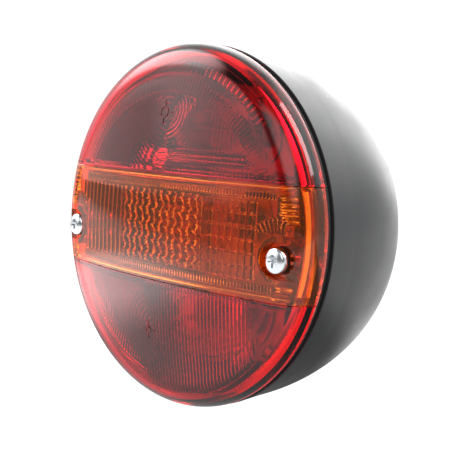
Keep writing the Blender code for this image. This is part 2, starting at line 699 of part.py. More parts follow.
def rivet_places(up):
    """Where the two rivets of the holder at this height go."""
    places = []
    for angle in (RIVET_ANGLE, RIVET_ANGLE + 180):
        across = RIVET_CIRCLE * math.cos(math.radians(angle))
        places.append((across, up + RIVET_CIRCLE * math.sin(math.radians(angle))))
    return places


def rivet(name, front, back, at):
    """A domed rivet that clamps everything between two planes."""
    dome = arc((0, front), RIVET_HEAD_RADIUS, 90, 0, 3, radius_up=RIVET_HEAD_HEIGHT)
    tail = RIVET_HEAD_RADIUS * 0.85
    profile = dome + [
        (RIVET_RADIUS, front),
        (RIVET_RADIUS, back),
        (tail, back),
        (tail, back - RIVET_HEAD_HEIGHT * 0.7),
        (0, back - RIVET_HEAD_HEIGHT * 0.7),
    ]
    turned(name, profile, 12, "zinc", at)


def sector_pair(name, radius, start, end, low, high, at):
    """A cutter for two opposite slots in a tube, between two angles in degrees."""
    core = HOLDER_BORE * 0.6
    outline = []
    for turn in (0, 180):
        outline += arc((0, 0), core, start + turn, start + turn, 1)[:1]
        outline += arc((0, 0), radius, start + turn, end + turn, 4)
        outline += arc((0, 0), core, end + turn, end + turn, 1)[:1]
    return plate(name, [outline], low, high, at=at)


def make_holder(chamber, up):
    """One bayonet holder: slotted tube with its flange, rivets, base disc, plunger and spring."""
    at = (0, up, 0)
    lip_bore = HOLDER_RADIUS - HOLDER_WALL - HOLDER_LIP
    section = [
        (HOLDER_BORE, HOLDER_RIM),
        (HOLDER_RADIUS, HOLDER_RIM),
        (HOLDER_RADIUS, FLANGE_FRONT),
        (HOLDER_FLANGE_RADIUS, FLANGE_FRONT),
        (HOLDER_FLANGE_RADIUS, FLANGE_BACK),
        (HOLDER_RADIUS, FLANGE_BACK),
        (HOLDER_RADIUS, HOLDER_END),
        (lip_bore, HOLDER_END),
        (lip_bore, HOLDER_END + HOLDER_WALL),
        (HOLDER_BORE, HOLDER_END + HOLDER_WALL),
    ]
    name = f"{chamber}_bulb_holder"
    holder = turned(name, section, MEDIUM_ROUND, "zinc", at, closed=True)
    spare = math.degrees((PIN_RADIUS + PIN_CLEARANCE) / HOLDER_BORE)
    slot_back = PIN_PLANE - PRESS_TRAVEL - PIN_RADIUS - PIN_CLEARANCE
    slot_front = PIN_PLANE + PIN_RADIUS + PIN_CLEARANCE
    window = sector_pair(
        f"{name}_window",
        HOLDER_HOLE + FIT_GAP,
        -spare,
        BAYONET_TURN + spare,
        slot_back,
        slot_front,
        at,
    )
    entry = sector_pair(
        f"{name}_entry",
        HOLDER_HOLE,
        BAYONET_TURN - spare,
        BAYONET_TURN + spare - 0.3,
        (slot_back + slot_front) / 2,
        HOLDER_RIM + OVERCUT,
        at,
    )
    boolean(holder, window)
    boolean(holder, entry)
    holes = []
    for index, (across, rivet_up) in enumerate(rivet_places(up)):
        bore = RIVET_RADIUS + FIT_GAP
        holes.append((across, rivet_up, bore, CHASSIS_BACK, FLANGE_FRONT + OVERCUT))
        rivet_name = f"{chamber}_holder_rivet_{index + 1}"
        place = (across, rivet_up, 0)
        rivet(rivet_name, FLANGE_FRONT + FIT_GAP, CHASSIS_BACK - FIT_GAP, place)
    boolean(holder, rods(f"{name}_rivet_holes", holes, 10))

    disc_bore = PLUNGER_PIN_RADIUS + SCREW_CLEARANCE
    disc = [
        (disc_bore, BASE_DISC_FRONT),
        (HOLDER_BORE - FIT_GAP, BASE_DISC_FRONT),
        (HOLDER_BORE - FIT_GAP, BASE_DISC_BACK),
        (disc_bore, BASE_DISC_BACK),
    ]
    turned(f"{chamber}_base_disc", disc, MEDIUM_ROUND, "fibre_board", at, closed=True)
    plunger = [
        (0, PLUNGER_FRONT),
        (PLUNGER_HEAD_RADIUS, PLUNGER_FRONT),
        (PLUNGER_HEAD_RADIUS, PLUNGER_HEAD_BACK),
        (PLUNGER_PIN_RADIUS, PLUNGER_HEAD_BACK),
        (PLUNGER_PIN_RADIUS, PLUNGER_PIN_END),
        (0, PLUNGER_PIN_END),
    ]
    turned(f"{chamber}_contact_plunger", plunger, MEDIUM_ROUND, "brass", at)

    low = BASE_DISC_FRONT + SPRING_WIRE_RADIUS + FIT_GAP
    high = PLUNGER_HEAD_BACK - SPRING_WIRE_RADIUS - FIT_GAP
    coil = []
    steps = round(SPRING_TURNS * COIL_STEPS)
    for i in range(steps + 1):
        angle = math.tau * SPRING_TURNS * i / steps
        forward = low + (high - low) * i / steps
        coil.append((SPRING_RADIUS * math.cos(angle), up + SPRING_RADIUS * math.sin(angle), forward))
    wire(f"{chamber}_contact_spring", coil, SPRING_WIRE_RADIUS, "spring_steel")


def glass_side(globe_radius, top, inset, steps):
    """Points down a pear-shaped glass from its top to its open neck, moved inwards by an inset."""
    centre = top - globe_radius
    lowest = -50
    points = arc((0, centre), globe_radius - inset, 90, lowest, steps)
    points[0] = (0, top - inset)
    points.append((GLASS_NECK_RADIUS - inset, GLASS_NECK_END))
    points.append((GLASS_NECK_RADIUS - inset, GLASS_NECK_START))
    return points


def make_bulb(chamber, up, globe_radius, top, glass_finish):
    """One bayonet bulb about the plane of its pins."""
    axis = new_empty(f"{chamber}_bulb_axis", (0, up, PIN_PLANE), AXES)
    outer = glass_side(globe_radius, top, 0, 8)
    inner = glass_side(globe_radius, top, GLASS_WALL, 5)
    profile = outer + inner[::-1]
    turned(f"{chamber}_bulb_glass", profile, MEDIUM_ROUND, glass_finish, parent=axis)

    bore = CAP_RADIUS - CAP_WALL
    cap_section = [
        (bore, CAP_FRONT),
        (CAP_RADIUS, CAP_FRONT),
        (CAP_RADIUS, -CAP_BACK),
        (bore - CAP_LIP, -CAP_BACK),
        (bore - CAP_LIP, CAP_WALL - CAP_BACK),
        (bore, CAP_WALL - CAP_BACK),
    ]
    cap = turned(f"{chamber}_bulb_cap", cap_section, MEDIUM_ROUND, "brass", parent=axis, closed=True)
    mesh = bpy.data.meshes.new(f"{chamber}_bulb_pins")
    shape = bmesh.new()
    root = CAP_RADIUS - CAP_WALL / 2
    for side in SIDES.values():
        place = Matrix.Translation((side * (root + PIN_REACH) / 2, 0, 0))
        bmesh.ops.create_cone(
            shape,
            cap_ends=True,
            segments=10,
            radius1=PIN_RADIUS,
            radius2=PIN_RADIUS,
            depth=PIN_REACH - root,
            matrix=place @ Matrix.Rotation(math.pi / 2, 4, "Y"),
        )
    shape.to_mesh(mesh)
    shape.free()
    boolean(cap, add_object(f"{chamber}_bulb_pins", mesh, parent=axis), "UNION")

    nose = bore - CAP_LIP - FIT_GAP
    seat = CAP_WALL - CAP_BACK + FIT_GAP
    stem_bore = CONTACT_STEM_RADIUS + FIT_GAP
    insulator = [
        (stem_bore, seat + INSULATOR_THICKNESS),
        (bore - FIT_GAP, seat + INSULATOR_THICKNESS),
        (bore - FIT_GAP, seat),
        (nose, seat),
        (nose, INSULATOR_BACK - PIN_PLANE),
        (stem_bore, INSULATOR_BACK - PIN_PLANE),
    ]
    name = f"{chamber}_bulb_insulator"
    turned(name, insulator, SMALL_ROUND, "black_glass", parent=axis, closed=True)
    contact_front = CONTACT_BACK + CONTACT_THICKNESS - PIN_PLANE
    stem_front = seat + INSULATOR_THICKNESS + CONTACT_STEM
    contact = [
        (0, stem_front),
        (CONTACT_STEM_RADIUS, stem_front),
        (CONTACT_STEM_RADIUS, contact_front),
        (CONTACT_RADIUS, contact_front),
        (CONTACT_RADIUS * 0.8, CONTACT_BACK - PIN_PLANE),
        (0, CONTACT_BACK - PIN_PLANE),
    ]
    turned(f"{chamber}_bulb_contact", contact, SMALL_ROUND, "zinc", parent=axis)

    level = top - globe_radius
    span = FILAMENT_HALF_SPAN
    path = [(-span, 0, GLASS_NECK_START), (-span, 0, level)]
    for i in range(1, 2 * FILAMENT_TURNS):
        across = span * (i / FILAMENT_TURNS - 1)
        sway = FILAMENT_WIRE_RADIUS * 2 * (-1) ** i
        path.append((across, sway, level + span * 0.3))
    path += [(span, 0, level), (span, 0, GLASS_NECK_START)]
    wire(f"{chamber}_bulb_filament", path, FILAMENT_WIRE_RADIUS, "tungsten", axis)


def make_earth_terminal():
    """The blade terminal riveted to the back of the chassis strip."""
    front = CHASSIS_BACK - FIT_GAP
    back = front - EARTH_TAB_THICKNESS
    inner = EARTH_RIVET_ACROSS - EARTH_TAB_WIDTH / 2
    outer = EARTH_RIVET_ACROSS + EARTH_TAB_WIDTH / 2
    outline = [
        (inner, back),
        (outer - EARTH_TAB_THICKNESS, back),
        (outer - EARTH_TAB_THICKNESS, front - EARTH_TAB_LENGTH),
        (outer, front - EARTH_TAB_LENGTH),
        (outer, front),
        (inner, front),
    ]
    half = EARTH_TAB_WIDTH / 2
    upright = Matrix.Rotation(math.pi / 2, 4, "X")
    terminal = plate("earth_terminal", [outline], -half, half, "brass", upright)
    hole = (EARTH_RIVET_ACROSS, 0, RIVET_RADIUS + FIT_GAP, back - OVERCUT, front + OVERCUT)
    boolean(terminal, rods("earth_terminal_hole", [hole], 10))
    rivet("earth_rivet", CHASSIS_FRONT + FIT_GAP, back - FIT_GAP, (EARTH_RIVET_ACROSS, 0, 0))


def make_fixings():
    """The two bolts through the back with their washers and nuts."""
    for side_name, side in SIDES.items():
        across = side * BOLT_ACROSS
        head_back = BACK_WALL + FIT_GAP * 2
        rod = (0, 0, BOLT_RADIUS, -BOLT_REACH, head_back + BOLT_HEAD_HEIGHT / 2)
        name = f"fixing_bolt_{side_name}"
        head_front = head_back + BOLT_HEAD_HEIGHT
        place = (across, 0, 0)
        bolt = plate(name, [hexagon(BOLT_HEAD_FLATS)], head_back, head_front, "zinc", at=place)
        shank = rods(f"{name}_shank", [rod], SMALL_ROUND)
        shank.location = place
        boolean(bolt, shank, "UNION")
        bore = BOLT_RADIUS + FIT_GAP
        washer_back = -FIT_GAP - BOLT_WASHER_THICKNESS
        ring = [
            (bore, -FIT_GAP),
            (BOLT_WASHER_RADIUS, -FIT_GAP),
            (BOLT_WASHER_RADIUS, washer_back),
            (bore, washer_back),
        ]
        turned(f"fixing_washer_{side_name}", ring, MEDIUM_ROUND, "zinc", place, closed=True)
        nut_front = washer_back - FIT_GAP
        outlines = [hexagon(BOLT_HEAD_FLATS), circle(0, 0, BOLT_RADIUS + FIT_GAP, SMALL_ROUND)]
        name = f"fixing_nut_{side_name}"
        plate(name, outlines, nut_front - NUT_THICKNESS, nut_front, "zinc", at=place)


def make_grommet():
    """The rubber grommet that the cable passes through."""
    flange_front = GROMMET_RECESS - FIT_GAP
    flange_back = flange_front - GROMMET_FLANGE_THICKNESS
    lip_back = GROMMET_BOSS_TOP + FIT_GAP
    lip_front = lip_back + GROMMET_LIP_THICKNESS
    section = [
        (GROMMET_BORE, lip_front),
        (GROMMET_LIP_RADIUS - GROMMET_LIP_CUT, lip_front),
        (GROMMET_LIP_RADIUS, lip_front - GROMMET_LIP_CUT * 1.3),
        (GROMMET_LIP_RADIUS, lip_back),
        (GROMMET_NECK_RADIUS, lip_back),
        (GROMMET_NECK_RADIUS, flange_front),
        (GROMMET_FLANGE_RADIUS, flange_front),
        (GROMMET_FLANGE_RADIUS, flange_back),
        (GROMMET_BORE, flange_back),
    ]
    turned("cable_grommet", section, MEDIUM_ROUND, "rubber", (0, GROMMET_UP, 0), closed=True)


clear_scene()
PARTS = new_collection("trailer_tail_light")
GUIDES = new_collection("cutters")
AXES = new_empty("lamp_axes")
AXES.rotation_euler = (math.pi / 2, 0, 0)

make_housing()
make_gasket()
make_lens()
make_lens_screws()
make_chassis()
make_baffles()
for chamber_name, chamber_up in CHAMBERS.items():
    make_holder(chamber_name, chamber_up)
make_bulb("stop", CHAMBERS["stop"], SIGNAL_GLOBE_RADIUS, SIGNAL_BULB_LENGTH, "glass")
make_bulb("indicator", CHAMBERS["indicator"], SIGNAL_GLOBE_RADIUS, SIGNAL_BULB_LENGTH, "amber_glass")
make_bulb("tail", CHAMBERS["tail"], TAIL_GLOBE_RADIUS, TAIL_BULB_LENGTH, "glass")
make_earth_terminal()
make_fixings()
make_grommet()
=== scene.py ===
"""Looks of a round three-chamber trailer lamp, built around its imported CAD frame.

The flat back of the housing lies on Y = 0 and the lens faces -Y. Shapes are drawn in lamp axes
(across, up, forward), where forward is the distance in front of the mounting face, and LAMP_AXES
turns them into the scene's own axes. Sizes are in metres.
"""

import logging
import math
from dataclasses import dataclass
from enum import Enum
from typing import Callable, Iterator, Sequence

import bmesh
import bpy
import numpy as np
from mathutils import Matrix, Vector


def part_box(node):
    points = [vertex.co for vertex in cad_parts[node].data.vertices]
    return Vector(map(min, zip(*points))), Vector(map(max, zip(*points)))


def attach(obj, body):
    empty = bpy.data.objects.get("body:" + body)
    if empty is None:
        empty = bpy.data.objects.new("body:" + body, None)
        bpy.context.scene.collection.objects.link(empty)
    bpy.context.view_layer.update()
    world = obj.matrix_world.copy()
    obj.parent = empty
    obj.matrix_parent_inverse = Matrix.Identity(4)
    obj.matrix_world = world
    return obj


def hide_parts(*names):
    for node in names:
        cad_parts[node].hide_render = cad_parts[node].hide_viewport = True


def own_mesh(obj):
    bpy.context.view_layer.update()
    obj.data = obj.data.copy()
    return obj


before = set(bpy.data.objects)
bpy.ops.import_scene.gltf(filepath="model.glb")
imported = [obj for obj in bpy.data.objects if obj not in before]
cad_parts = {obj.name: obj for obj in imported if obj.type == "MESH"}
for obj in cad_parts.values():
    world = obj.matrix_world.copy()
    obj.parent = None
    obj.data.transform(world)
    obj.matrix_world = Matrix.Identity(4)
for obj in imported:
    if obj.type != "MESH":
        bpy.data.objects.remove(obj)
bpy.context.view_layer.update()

MM = 0.001
LAMP_AXES = Matrix.Rotation(math.pi / 2, 4, "X")
FINE_ROUND = 192
ROUND = 64
SMALL_ROUND = 32
PAST = 5 * MM  # how far a cutter runs beyond what it cuts

Point = tuple[float, float]
Place = tuple[float, float, float]
log = logging.getLogger("trailer_lamp")


class Slot(Enum):
    """The record's material slots."""

    BLACK_PLASTIC = "black_plastic"
    RUBBER = "rubber"
    RED_LENS = "red_lens"
    AMBER_LENS = "amber_lens"
    ZINC = "zinc"
    BRASS = "brass"
    GLASS = "glass"
    AMBER_GLASS = "amber_glass"
    TUNGSTEN = "tungsten"
    BLACK_GLASS = "black_glass"
    FIBRE_BOARD = "fibre_board"
    SPRING_STEEL = "spring_steel"


class Join(Enum):
    """How a second shape changes a first one."""

    ADD = "UNION"
    CUT = "DIFFERENCE"
    KEEP = "INTERSECT"


class Chamber(Enum):
    """The lamp's three light chambers, by the signal each one gives."""

    STOP = "stop"
    INDICATOR = "indicator"
    TAIL = "tail"

    @property
    def axis(self) -> tuple[float, float]:
        """Where its bulb's axis lies, across and up."""
        return CadBox.of(f"{self.value}_bulb_cap").centre


@dataclass(frozen=True)
class CadBox:
    """Where a CAD node lies, in lamp axes."""

    left: float
    right: float
    bottom: float
    top: float
    back: float
    front: float

    @classmethod
    def of(cls, node: str) -> "CadBox":
        """Measure a CAD node at rest."""
        low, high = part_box(node)
        return cls(low[0], high[0], low[2], high[2], -high[1], -low[1])

    @property
    def centre(self) -> Point:
        """Its middle, across and up, to the nearest micrometre."""
        return (round((self.left + self.right) / 2, 6), round((self.bottom + self.top) / 2, 6))

    @property
    def radius(self) -> float:
        """Half its width."""
        return (self.right - self.left) / 2

    @property
    def length(self) -> float:
        """How far it reaches from back to front."""
        return self.front - self.back


SIDES = {"left": -1, "right": 1}
LEVELS = {"upper": 1, "lower": -1}
LENS_SCREW = CadBox.of("lens_screw_right").centre
CHASSIS_SCREW = CadBox.of("chassis_screw_upper_right").centre
FIXING_BOLT = CadBox.of("fixing_bolt_right").centre
CABLE = CadBox.of("cable_grommet").centre


# ---------------------------------------------------------------- nodes


def add_node(tree: bpy.types.NodeTree, kind: str, inputs: dict | None = None, **settings) -> bpy.types.Node:
    """Add a node with its settings, values and links.

    Args:
        tree: The node tree that gets the node.
        kind: Blender's name for the kind of node.
        inputs: Socket names or numbers, each with a value, a socket or a node to link from.
        settings: Properties of the node itself.

    Returns:
        The new node.
    """
    node = tree.nodes.new(kind)
    for name, value in settings.items():
        setattr(node, name, value)
    for key, value in (inputs or {}).items():
        if isinstance(value, bpy.types.Node):
            value = value.outputs[0]
        if isinstance(value, bpy.types.NodeSocket):
            tree.links.new(value, node.inputs[key])
        else:
            node.inputs[key].default_value = value
    return node


def linear(colour: str) -> tuple[float, float, float, float]:
    """Turn an sRGB hex colour into linear red, green, blue and alpha.

    Args:
        colour: Six hex digits after a hash.

    Returns:
        The linear colour, opaque.
    """
    parts = [int(colour[i : i + 2], 16) / 255 for i in (1, 3, 5)]
    straight = [p / 12.92 if p <= 0.04045 else ((p + 0.055) / 1.055) ** 2.4 for p in parts]
    return (*straight, 1.0)


# ---------------------------------------------------------------- finishes


class Coat:
    """A material in the making: a Principled shader, and the object coordinates its patterns read."""

    def __init__(self, name: str, colour: str, roughness: float) -> None:
        """Start the material.

        Args:
            name: The material's name.
            colour: Its base colour, as sRGB hex.
            roughness: How rough it is where no pattern changes that.
        """
        self.colour = colour
        self.material = bpy.data.materials.new(name)
        self.material.use_nodes = True
        self.tree = self.material.node_tree
        self.tree.nodes.clear()
        self.shader = add_node(self.tree, "ShaderNodeBsdfPrincipled")
        self.place = add_node(self.tree, "ShaderNodeTexCoord").outputs["Object"]
        self.output = add_node(self.tree, "ShaderNodeOutputMaterial", {"Surface": self.shader})
        self.set("Base Color", linear(colour))
        self.set("Roughness", roughness)

    def set(self, socket: str, value: float | tuple[float, ...]) -> None:
        """Set a constant on the shader's own socket."""
        self.shader.inputs[socket].default_value = value

    def drive(self, socket: str, source: bpy.types.NodeSocket) -> None:
        """Let a pattern drive one of the shader's sockets."""
        self.tree.links.new(source, self.shader.inputs[socket])

    def clouds(self, size: float, detail: float, low: float, high: float) -> bpy.types.NodeSocket:
        """Make soft blotches that wander between two values.

        Args:
            size: How far apart the blotches lie.
            detail: How many finer layers lie over them.
            low: The value of the darkest ones.
            high: The value of the lightest ones.

        Returns:
            The socket with the value.
        """
        inputs = {"Vector": self.place, "Scale": 1 / size, "Detail": detail}
        noise = add_node(self.tree, "ShaderNodeTexNoise", inputs)
        span = {"Value": noise, "From Min": 0.3, "From Max": 0.7, "To Min": low, "To Max": high}
        return add_node(self.tree, "ShaderNodeMapRange", span).outputs[0]

    def relief(self, size: float, detail: float, strength: float, depth: float) -> None:
        """Raise an uneven skin out of the surface.

        Args:
            size: How far apart its bumps lie.
            detail: How many finer layers lie over them.
            strength: How much of the depth shows.
            depth: How high the bumps stand.
        """
        inputs = {"Vector": self.place, "Scale": 1 / size, "Detail": detail}
        noise = add_node(self.tree, "ShaderNodeTexNoise", inputs)
        bump = {"Height": noise, "Strength": strength, "Distance": depth}
        self.drive("Normal", add_node(self.tree, "ShaderNodeBump", bump).outputs[0])

    def tint(self, share: bpy.types.Node | bpy.types.NodeSocket, other: str) -> None:
        """Blend the base colour with another one.

        Args:
            share: How much of the other colour shows.
            other: The other colour, as sRGB hex.
        """
        inputs = {0: share, 6: linear(self.colour), 7: linear(other)}
        mix = add_node(self.tree, "ShaderNodeMix", inputs, data_type="RGBA")
        self.drive("Base Color", mix.outputs[2])


@dataclass(frozen=True)
class Finish:
    """What every finish has: a name, a slot, a base colour and how rough it is."""

    name: str
    slot: Slot
    colour: str
    roughness: float

    def build(self) -> bpy.types.Material:
        """Make the material.

        Returns:
            The material.
        """
        coat = Coat(self.name, self.colour, self.roughness)
        self.dress(coat)
        return coat.material

    def dress(self, coat: Coat) -> None:
        """Add what is special about this finish.

        Args:
            coat: The material that is being made.
        """
        raise NotImplementedError


@dataclass(frozen=True)
class ClearPlastic(Finish):
    """Injection-moulded acrylic, dyed through: clear, glossy, a little wavy, with fine dust on it."""

    dye: str = "#ffffff"
    strength: float = 0.0
    clearness: float = 1.0

    def dress(self, coat: Coat) -> None:
        """Make it clear, and let the dye take more light where light travels further through it."""
        coat.set("Transmission Weight", self.clearness)
        coat.set("IOR", 1.49)
        coat.drive("Roughness", coat.clouds(5 * MM, 6.0, self.roughness, self.roughness + 0.05))
        coat.relief(22 * MM, 2.0, 0.04, MM)
        depth = {"Color": linear(self.dye), "Density": self.strength}
        dyed = add_node(coat.tree, "ShaderNodeVolumeAbsorption", depth)
        coat.tree.links.new(dyed.outputs[0], coat.output.inputs["Volume"])


@dataclass(frozen=True)
class MouldedPlastic(Finish):
    """Opaque moulded polymer or rubber: an even skin with a faint grain and a few specks of dust."""

    grain: float = 0.35 * MM
    grain_strength: float = 0.06
    specks: float = 0.0

    def dress(self, coat: Coat) -> None:
        """Add the cloudy gloss, the grain and the dust."""
        coat.set("IOR", 1.5)
        coat.drive("Roughness", coat.clouds(14 * MM, 4.0, self.roughness - 0.05, self.roughness + 0.06))
        coat.relief(self.grain, 2.0, self.grain_strength, 0.1 * MM)
        # A speck sits in a few of the cells only, and each is a fraction of a millimetre across.
        cells = add_node(coat.tree, "ShaderNodeTexVoronoi", {"Vector": coat.place, "Scale": 1 / (5 * MM)})
        near = {0: cells.outputs["Distance"], 1: 0.055}
        close = add_node(coat.tree, "ShaderNodeMath", near, operation="LESS_THAN")
        drawn = add_node(coat.tree, "ShaderNodeSeparateColor", {0: cells.outputs["Color"]})
        few = add_node(coat.tree, "ShaderNodeMath", {0: drawn, 1: self.specks}, operation="LESS_THAN")
        speck = add_node(coat.tree, "ShaderNodeMath", {0: close, 1: few}, operation="MULTIPLY")
        coat.tint(speck, "#8c8c88")


@dataclass(frozen=True)
class Metal(Finish):
    """Bare or plated metal: a second tint in the clouds of its surface film, and fine drawn lines."""

    tint: str = "#b0b4b8"
    line: float = 0.25 * MM

    def dress(self, coat: Coat) -> None:
        """Add the film's tint and uneven gloss, and the drawn lines."""
        coat.set("Metallic", 1.0)
        coat.tint(coat.clouds(9 * MM, 4.0, 0.0, 1.0), self.tint)
        coat.drive("Roughness", coat.clouds(2.5 * MM, 5.0, self.roughness * 0.8, self.roughness * 1.3))
        coat.relief(self.line, 3.0, 0.04, 0.05 * MM)


@dataclass(frozen=True)
class BlownGlass(Finish):
    """Thin blown bulb glass: clear, with the slow waves that blowing leaves."""

    def dress(self, coat: Coat) -> None:
        """Make it clear and a little wavy."""
        coat.set("Transmission Weight", 1.0)
        coat.set("IOR", 1.5)
        coat.relief(6 * MM, 2.0, 0.05, 0.5 * MM)


@dataclass(frozen=True)
class FibreBoard(Finish):
    """Punched phenolic paper board: brown, dull, with short fibres in it."""

    fibre: float = 0.6 * MM

    def dress(self, coat: Coat) -> None:
        """Draw the fibres, four times as long as they are wide."""
        stretch = {"Vector": coat.place, "Scale": (0.25, 1.0, 1.0)}
        coat.place = add_node(coat.tree, "ShaderNodeMapping", stretch).outputs[0]
        coat.tint(coat.clouds(self.fibre, 4.0, 0.0, 1.0), "#7d5230")
        coat.relief(self.fibre, 4.0, 0.2, 0.1 * MM)


# Deep crimson in the thick of the plastic and pinker where it is thin, under a sharp gloss.
RED_ACRYLIC = ClearPlastic(
    "red_acrylic_moulded", Slot.RED_LENS, "#ea2644", 0.02, dye="#ff2c54", strength=120.0
)
# Orange with a trace of haze, so that its ribs and tubes glow a little against the dark behind them.
AMBER_ACRYLIC = ClearPlastic(
    "amber_acrylic_moulded", Slot.AMBER_LENS, "#ff8c28", 0.02, dye="#ffa030", strength=60.0, clearness=0.95
)
# A soft satin shine on near-black, with a little dust.
BLACK_POLYPROPYLENE = MouldedPlastic(
    "black_polypropylene_moulded", Slot.BLACK_PLASTIC, "#2b2c2e", 0.30, specks=0.06
)
# Dull and darker than the plastic beside it.
BLACK_EPDM = MouldedPlastic(
    "black_epdm_rubber", Slot.RUBBER, "#141414", 0.62, grain=0.5 * MM, grain_strength=0.15, specks=0.03
)
# Pale grey sheet with a blurred reflection, which lightens the chambers.
ZINC_SHEET = Metal("zinc_plated_sheet", Slot.ZINC, "#c9cccf", 0.36, tint="#b4b9bd", line=0.6 * MM)
# Brighter and smoother, as plated bolts and nuts are.
ZINC_PLATE = Metal("zinc_plated_steel", Slot.ZINC, "#d6d9dc", 0.24, tint="#c4c8cc")
# Nearly a mirror, with a blue cast.
BRIGHT_ZINC = Metal("bright_zinc_screw", Slot.ZINC, "#e8eaec", 0.16, tint="#d2d8de")
# Pale warm metal, smooth from deep drawing.
NICKEL_BRASS = Metal("nickel_plated_brass", Slot.BRASS, "#d8c9a2", 0.2, tint="#cbb88c")
# Yellow, with darker handled patches.
BRASS = Metal("yellow_brass", Slot.BRASS, "#d9b566", 0.24, tint="#c29a4c")
# Grey and half dull, as solder sets.
TIN_SOLDER = Metal("tin_solder", Slot.ZINC, "#c3c5c6", 0.35, tint="#a7abae")
# Dark grey wire.
TUNGSTEN = Metal("tungsten_wire", Slot.TUNGSTEN, "#a0a0a2", 0.35, tint="#8c8c90")
# Plain grey wire with a thin bright line along it.
SPRING_STEEL = Metal("drawn_spring_steel", Slot.SPRING_STEEL, "#b9bbbe", 0.28, tint="#a2a5a9")
# Clear, and seen mostly by its reflections.
BULB_GLASS = BlownGlass("blown_bulb_glass", Slot.GLASS, "#fbfdfd", 0.0)
# The same glass with an amber coat.
AMBER_BULB_GLASS = BlownGlass("amber_bulb_glass", Slot.AMBER_GLASS, "#ffbe55", 0.0)
# Black and glossy, as poured glass is.
BLACK_VITRITE = MouldedPlastic("black_base_glass", Slot.BLACK_GLASS, "#161418", 0.12, grain_strength=0.02)
# Brown and dull, with fibres.
PAPER_BOARD = FibreBoard("phenolic_paper_board", Slot.FIBRE_BOARD, "#5c3a20", 0.55)


class FinishShelf:
    """Keeps one material for each finish."""

    def __init__(self) -> None:
        """Start with no materials."""
        self.made: dict[str, bpy.types.Material] = {}

    def take(self, finish: Finish) -> bpy.types.Material:
        """Return the finish's material, made on first use."""
        if finish.name not in self.made:
            self.made[finish.name] = finish.build()
        return self.made[finish.name]


SHELF = FinishShelf()


# ---------------------------------------------------------------- outlines and solids


def arc(
    centre: Point, radius: float, start: float, end: float, steps: int, rise: float | None = None
) -> list[Point]:
    """Points on a circle, or an ellipse, from one angle to another.

    Args:
        centre: Its middle.
        radius: Its radius along the first axis.
        start: First angle in degrees.
        end: Last angle in degrees.
        steps: Number of steps between them.
        rise: Its radius along the second axis, if that differs.

    Returns:
        The points, first and last included.
    """
    rise = radius if rise is None else rise
    angles = [math.radians(start + (end - start) * i / steps) for i in range(steps + 1)]
    return [(centre[0] + radius * math.cos(a), centre[1] + rise * math.sin(a)) for a in angles]


def eased(corners: Sequence[tuple[float, ...]], closed: bool = False, steps: int = 4) -> list[Point]:
    """Round the corners of an outline.

    Args:
        corners: Points, each with the size of its rounding as an optional third number.
        closed: Whether the last point joins the first.
        steps: Number of steps in each rounding.

    Returns:
        The points of the rounded outline.
    """
    outline: list[Point] = []
    count = len(corners)
    for i, corner in enumerate(corners):
        here = Vector(corner[:2])
        size = corner[2] if len(corner) > 2 else 0.0
        if size <= 0 or (not closed and i in (0, count - 1)):
            outline.append((here.x, here.y))
            continue
        back = Vector(corners[i - 1][:2]) - here
        on = Vector(corners[(i + 1) % count][:2]) - here
        first = here + back.normalized() * min(size, back.length * 0.45)
        last = here + on.normalized() * min(size, on.length * 0.45)
        for k in range(steps + 1):
            t = k / steps
            point = first * (1 - t) ** 2 + here * 2 * t * (1 - t) + last * t**2
            outline.append((point.x, point.y))
    return outline


def lathe(
    profile: Sequence[Point], segments: int = ROUND, centre: Point = (0.0, 0.0), ring: bool = False
) -> bpy.types.Mesh:
    """Turn a profile about an axis that runs forward.

    Args:
        profile: (radius, forward) points. Where one lies on the axis, the shape closes there.
        segments: Number of steps round the axis.
        centre: Where the axis stands, across and up.
        ring: Whether the last point joins the first.

    Returns:
        A closed mesh in lamp axes.
    """
    shape = bmesh.new()
    rows = []
    for radius, forward in profile:
        count = 1 if radius < 1e-7 else segments
        angles = [math.tau * k / segments for k in range(count)]
        places = [(centre[0] + radius * math.cos(a), centre[1] + radius * math.sin(a)) for a in angles]
        rows.append([shape.verts.new((x, y, forward)) for x, y in places])
    pairs = list(zip(rows, rows[1:]))
    if ring:
        pairs.append((rows[-1], rows[0]))
    for one, two in pairs:
        for k in range(segments):
            n = (k + 1) % segments
            corners = [one[k % len(one)], one[n % len(one)], two[n % len(two)], two[k % len(two)]]
            corners = list(dict.fromkeys(corners))
            if len(corners) > 2:
                shape.faces.new(corners)
    return to_mesh(shape)


def to_mesh(shape: bmesh.types.BMesh) -> bpy.types.Mesh:
    """Turn a shape's faces outwards and store it as a mesh.

    Args:
        shape: The shape, which is freed.

    Returns:
        The mesh.
    """
    bmesh.ops.recalc_face_normals(shape, faces=shape.faces)
    mesh = bpy.data.meshes.new("shape")
    shape.to_mesh(mesh)
    shape.free()
    return mesh


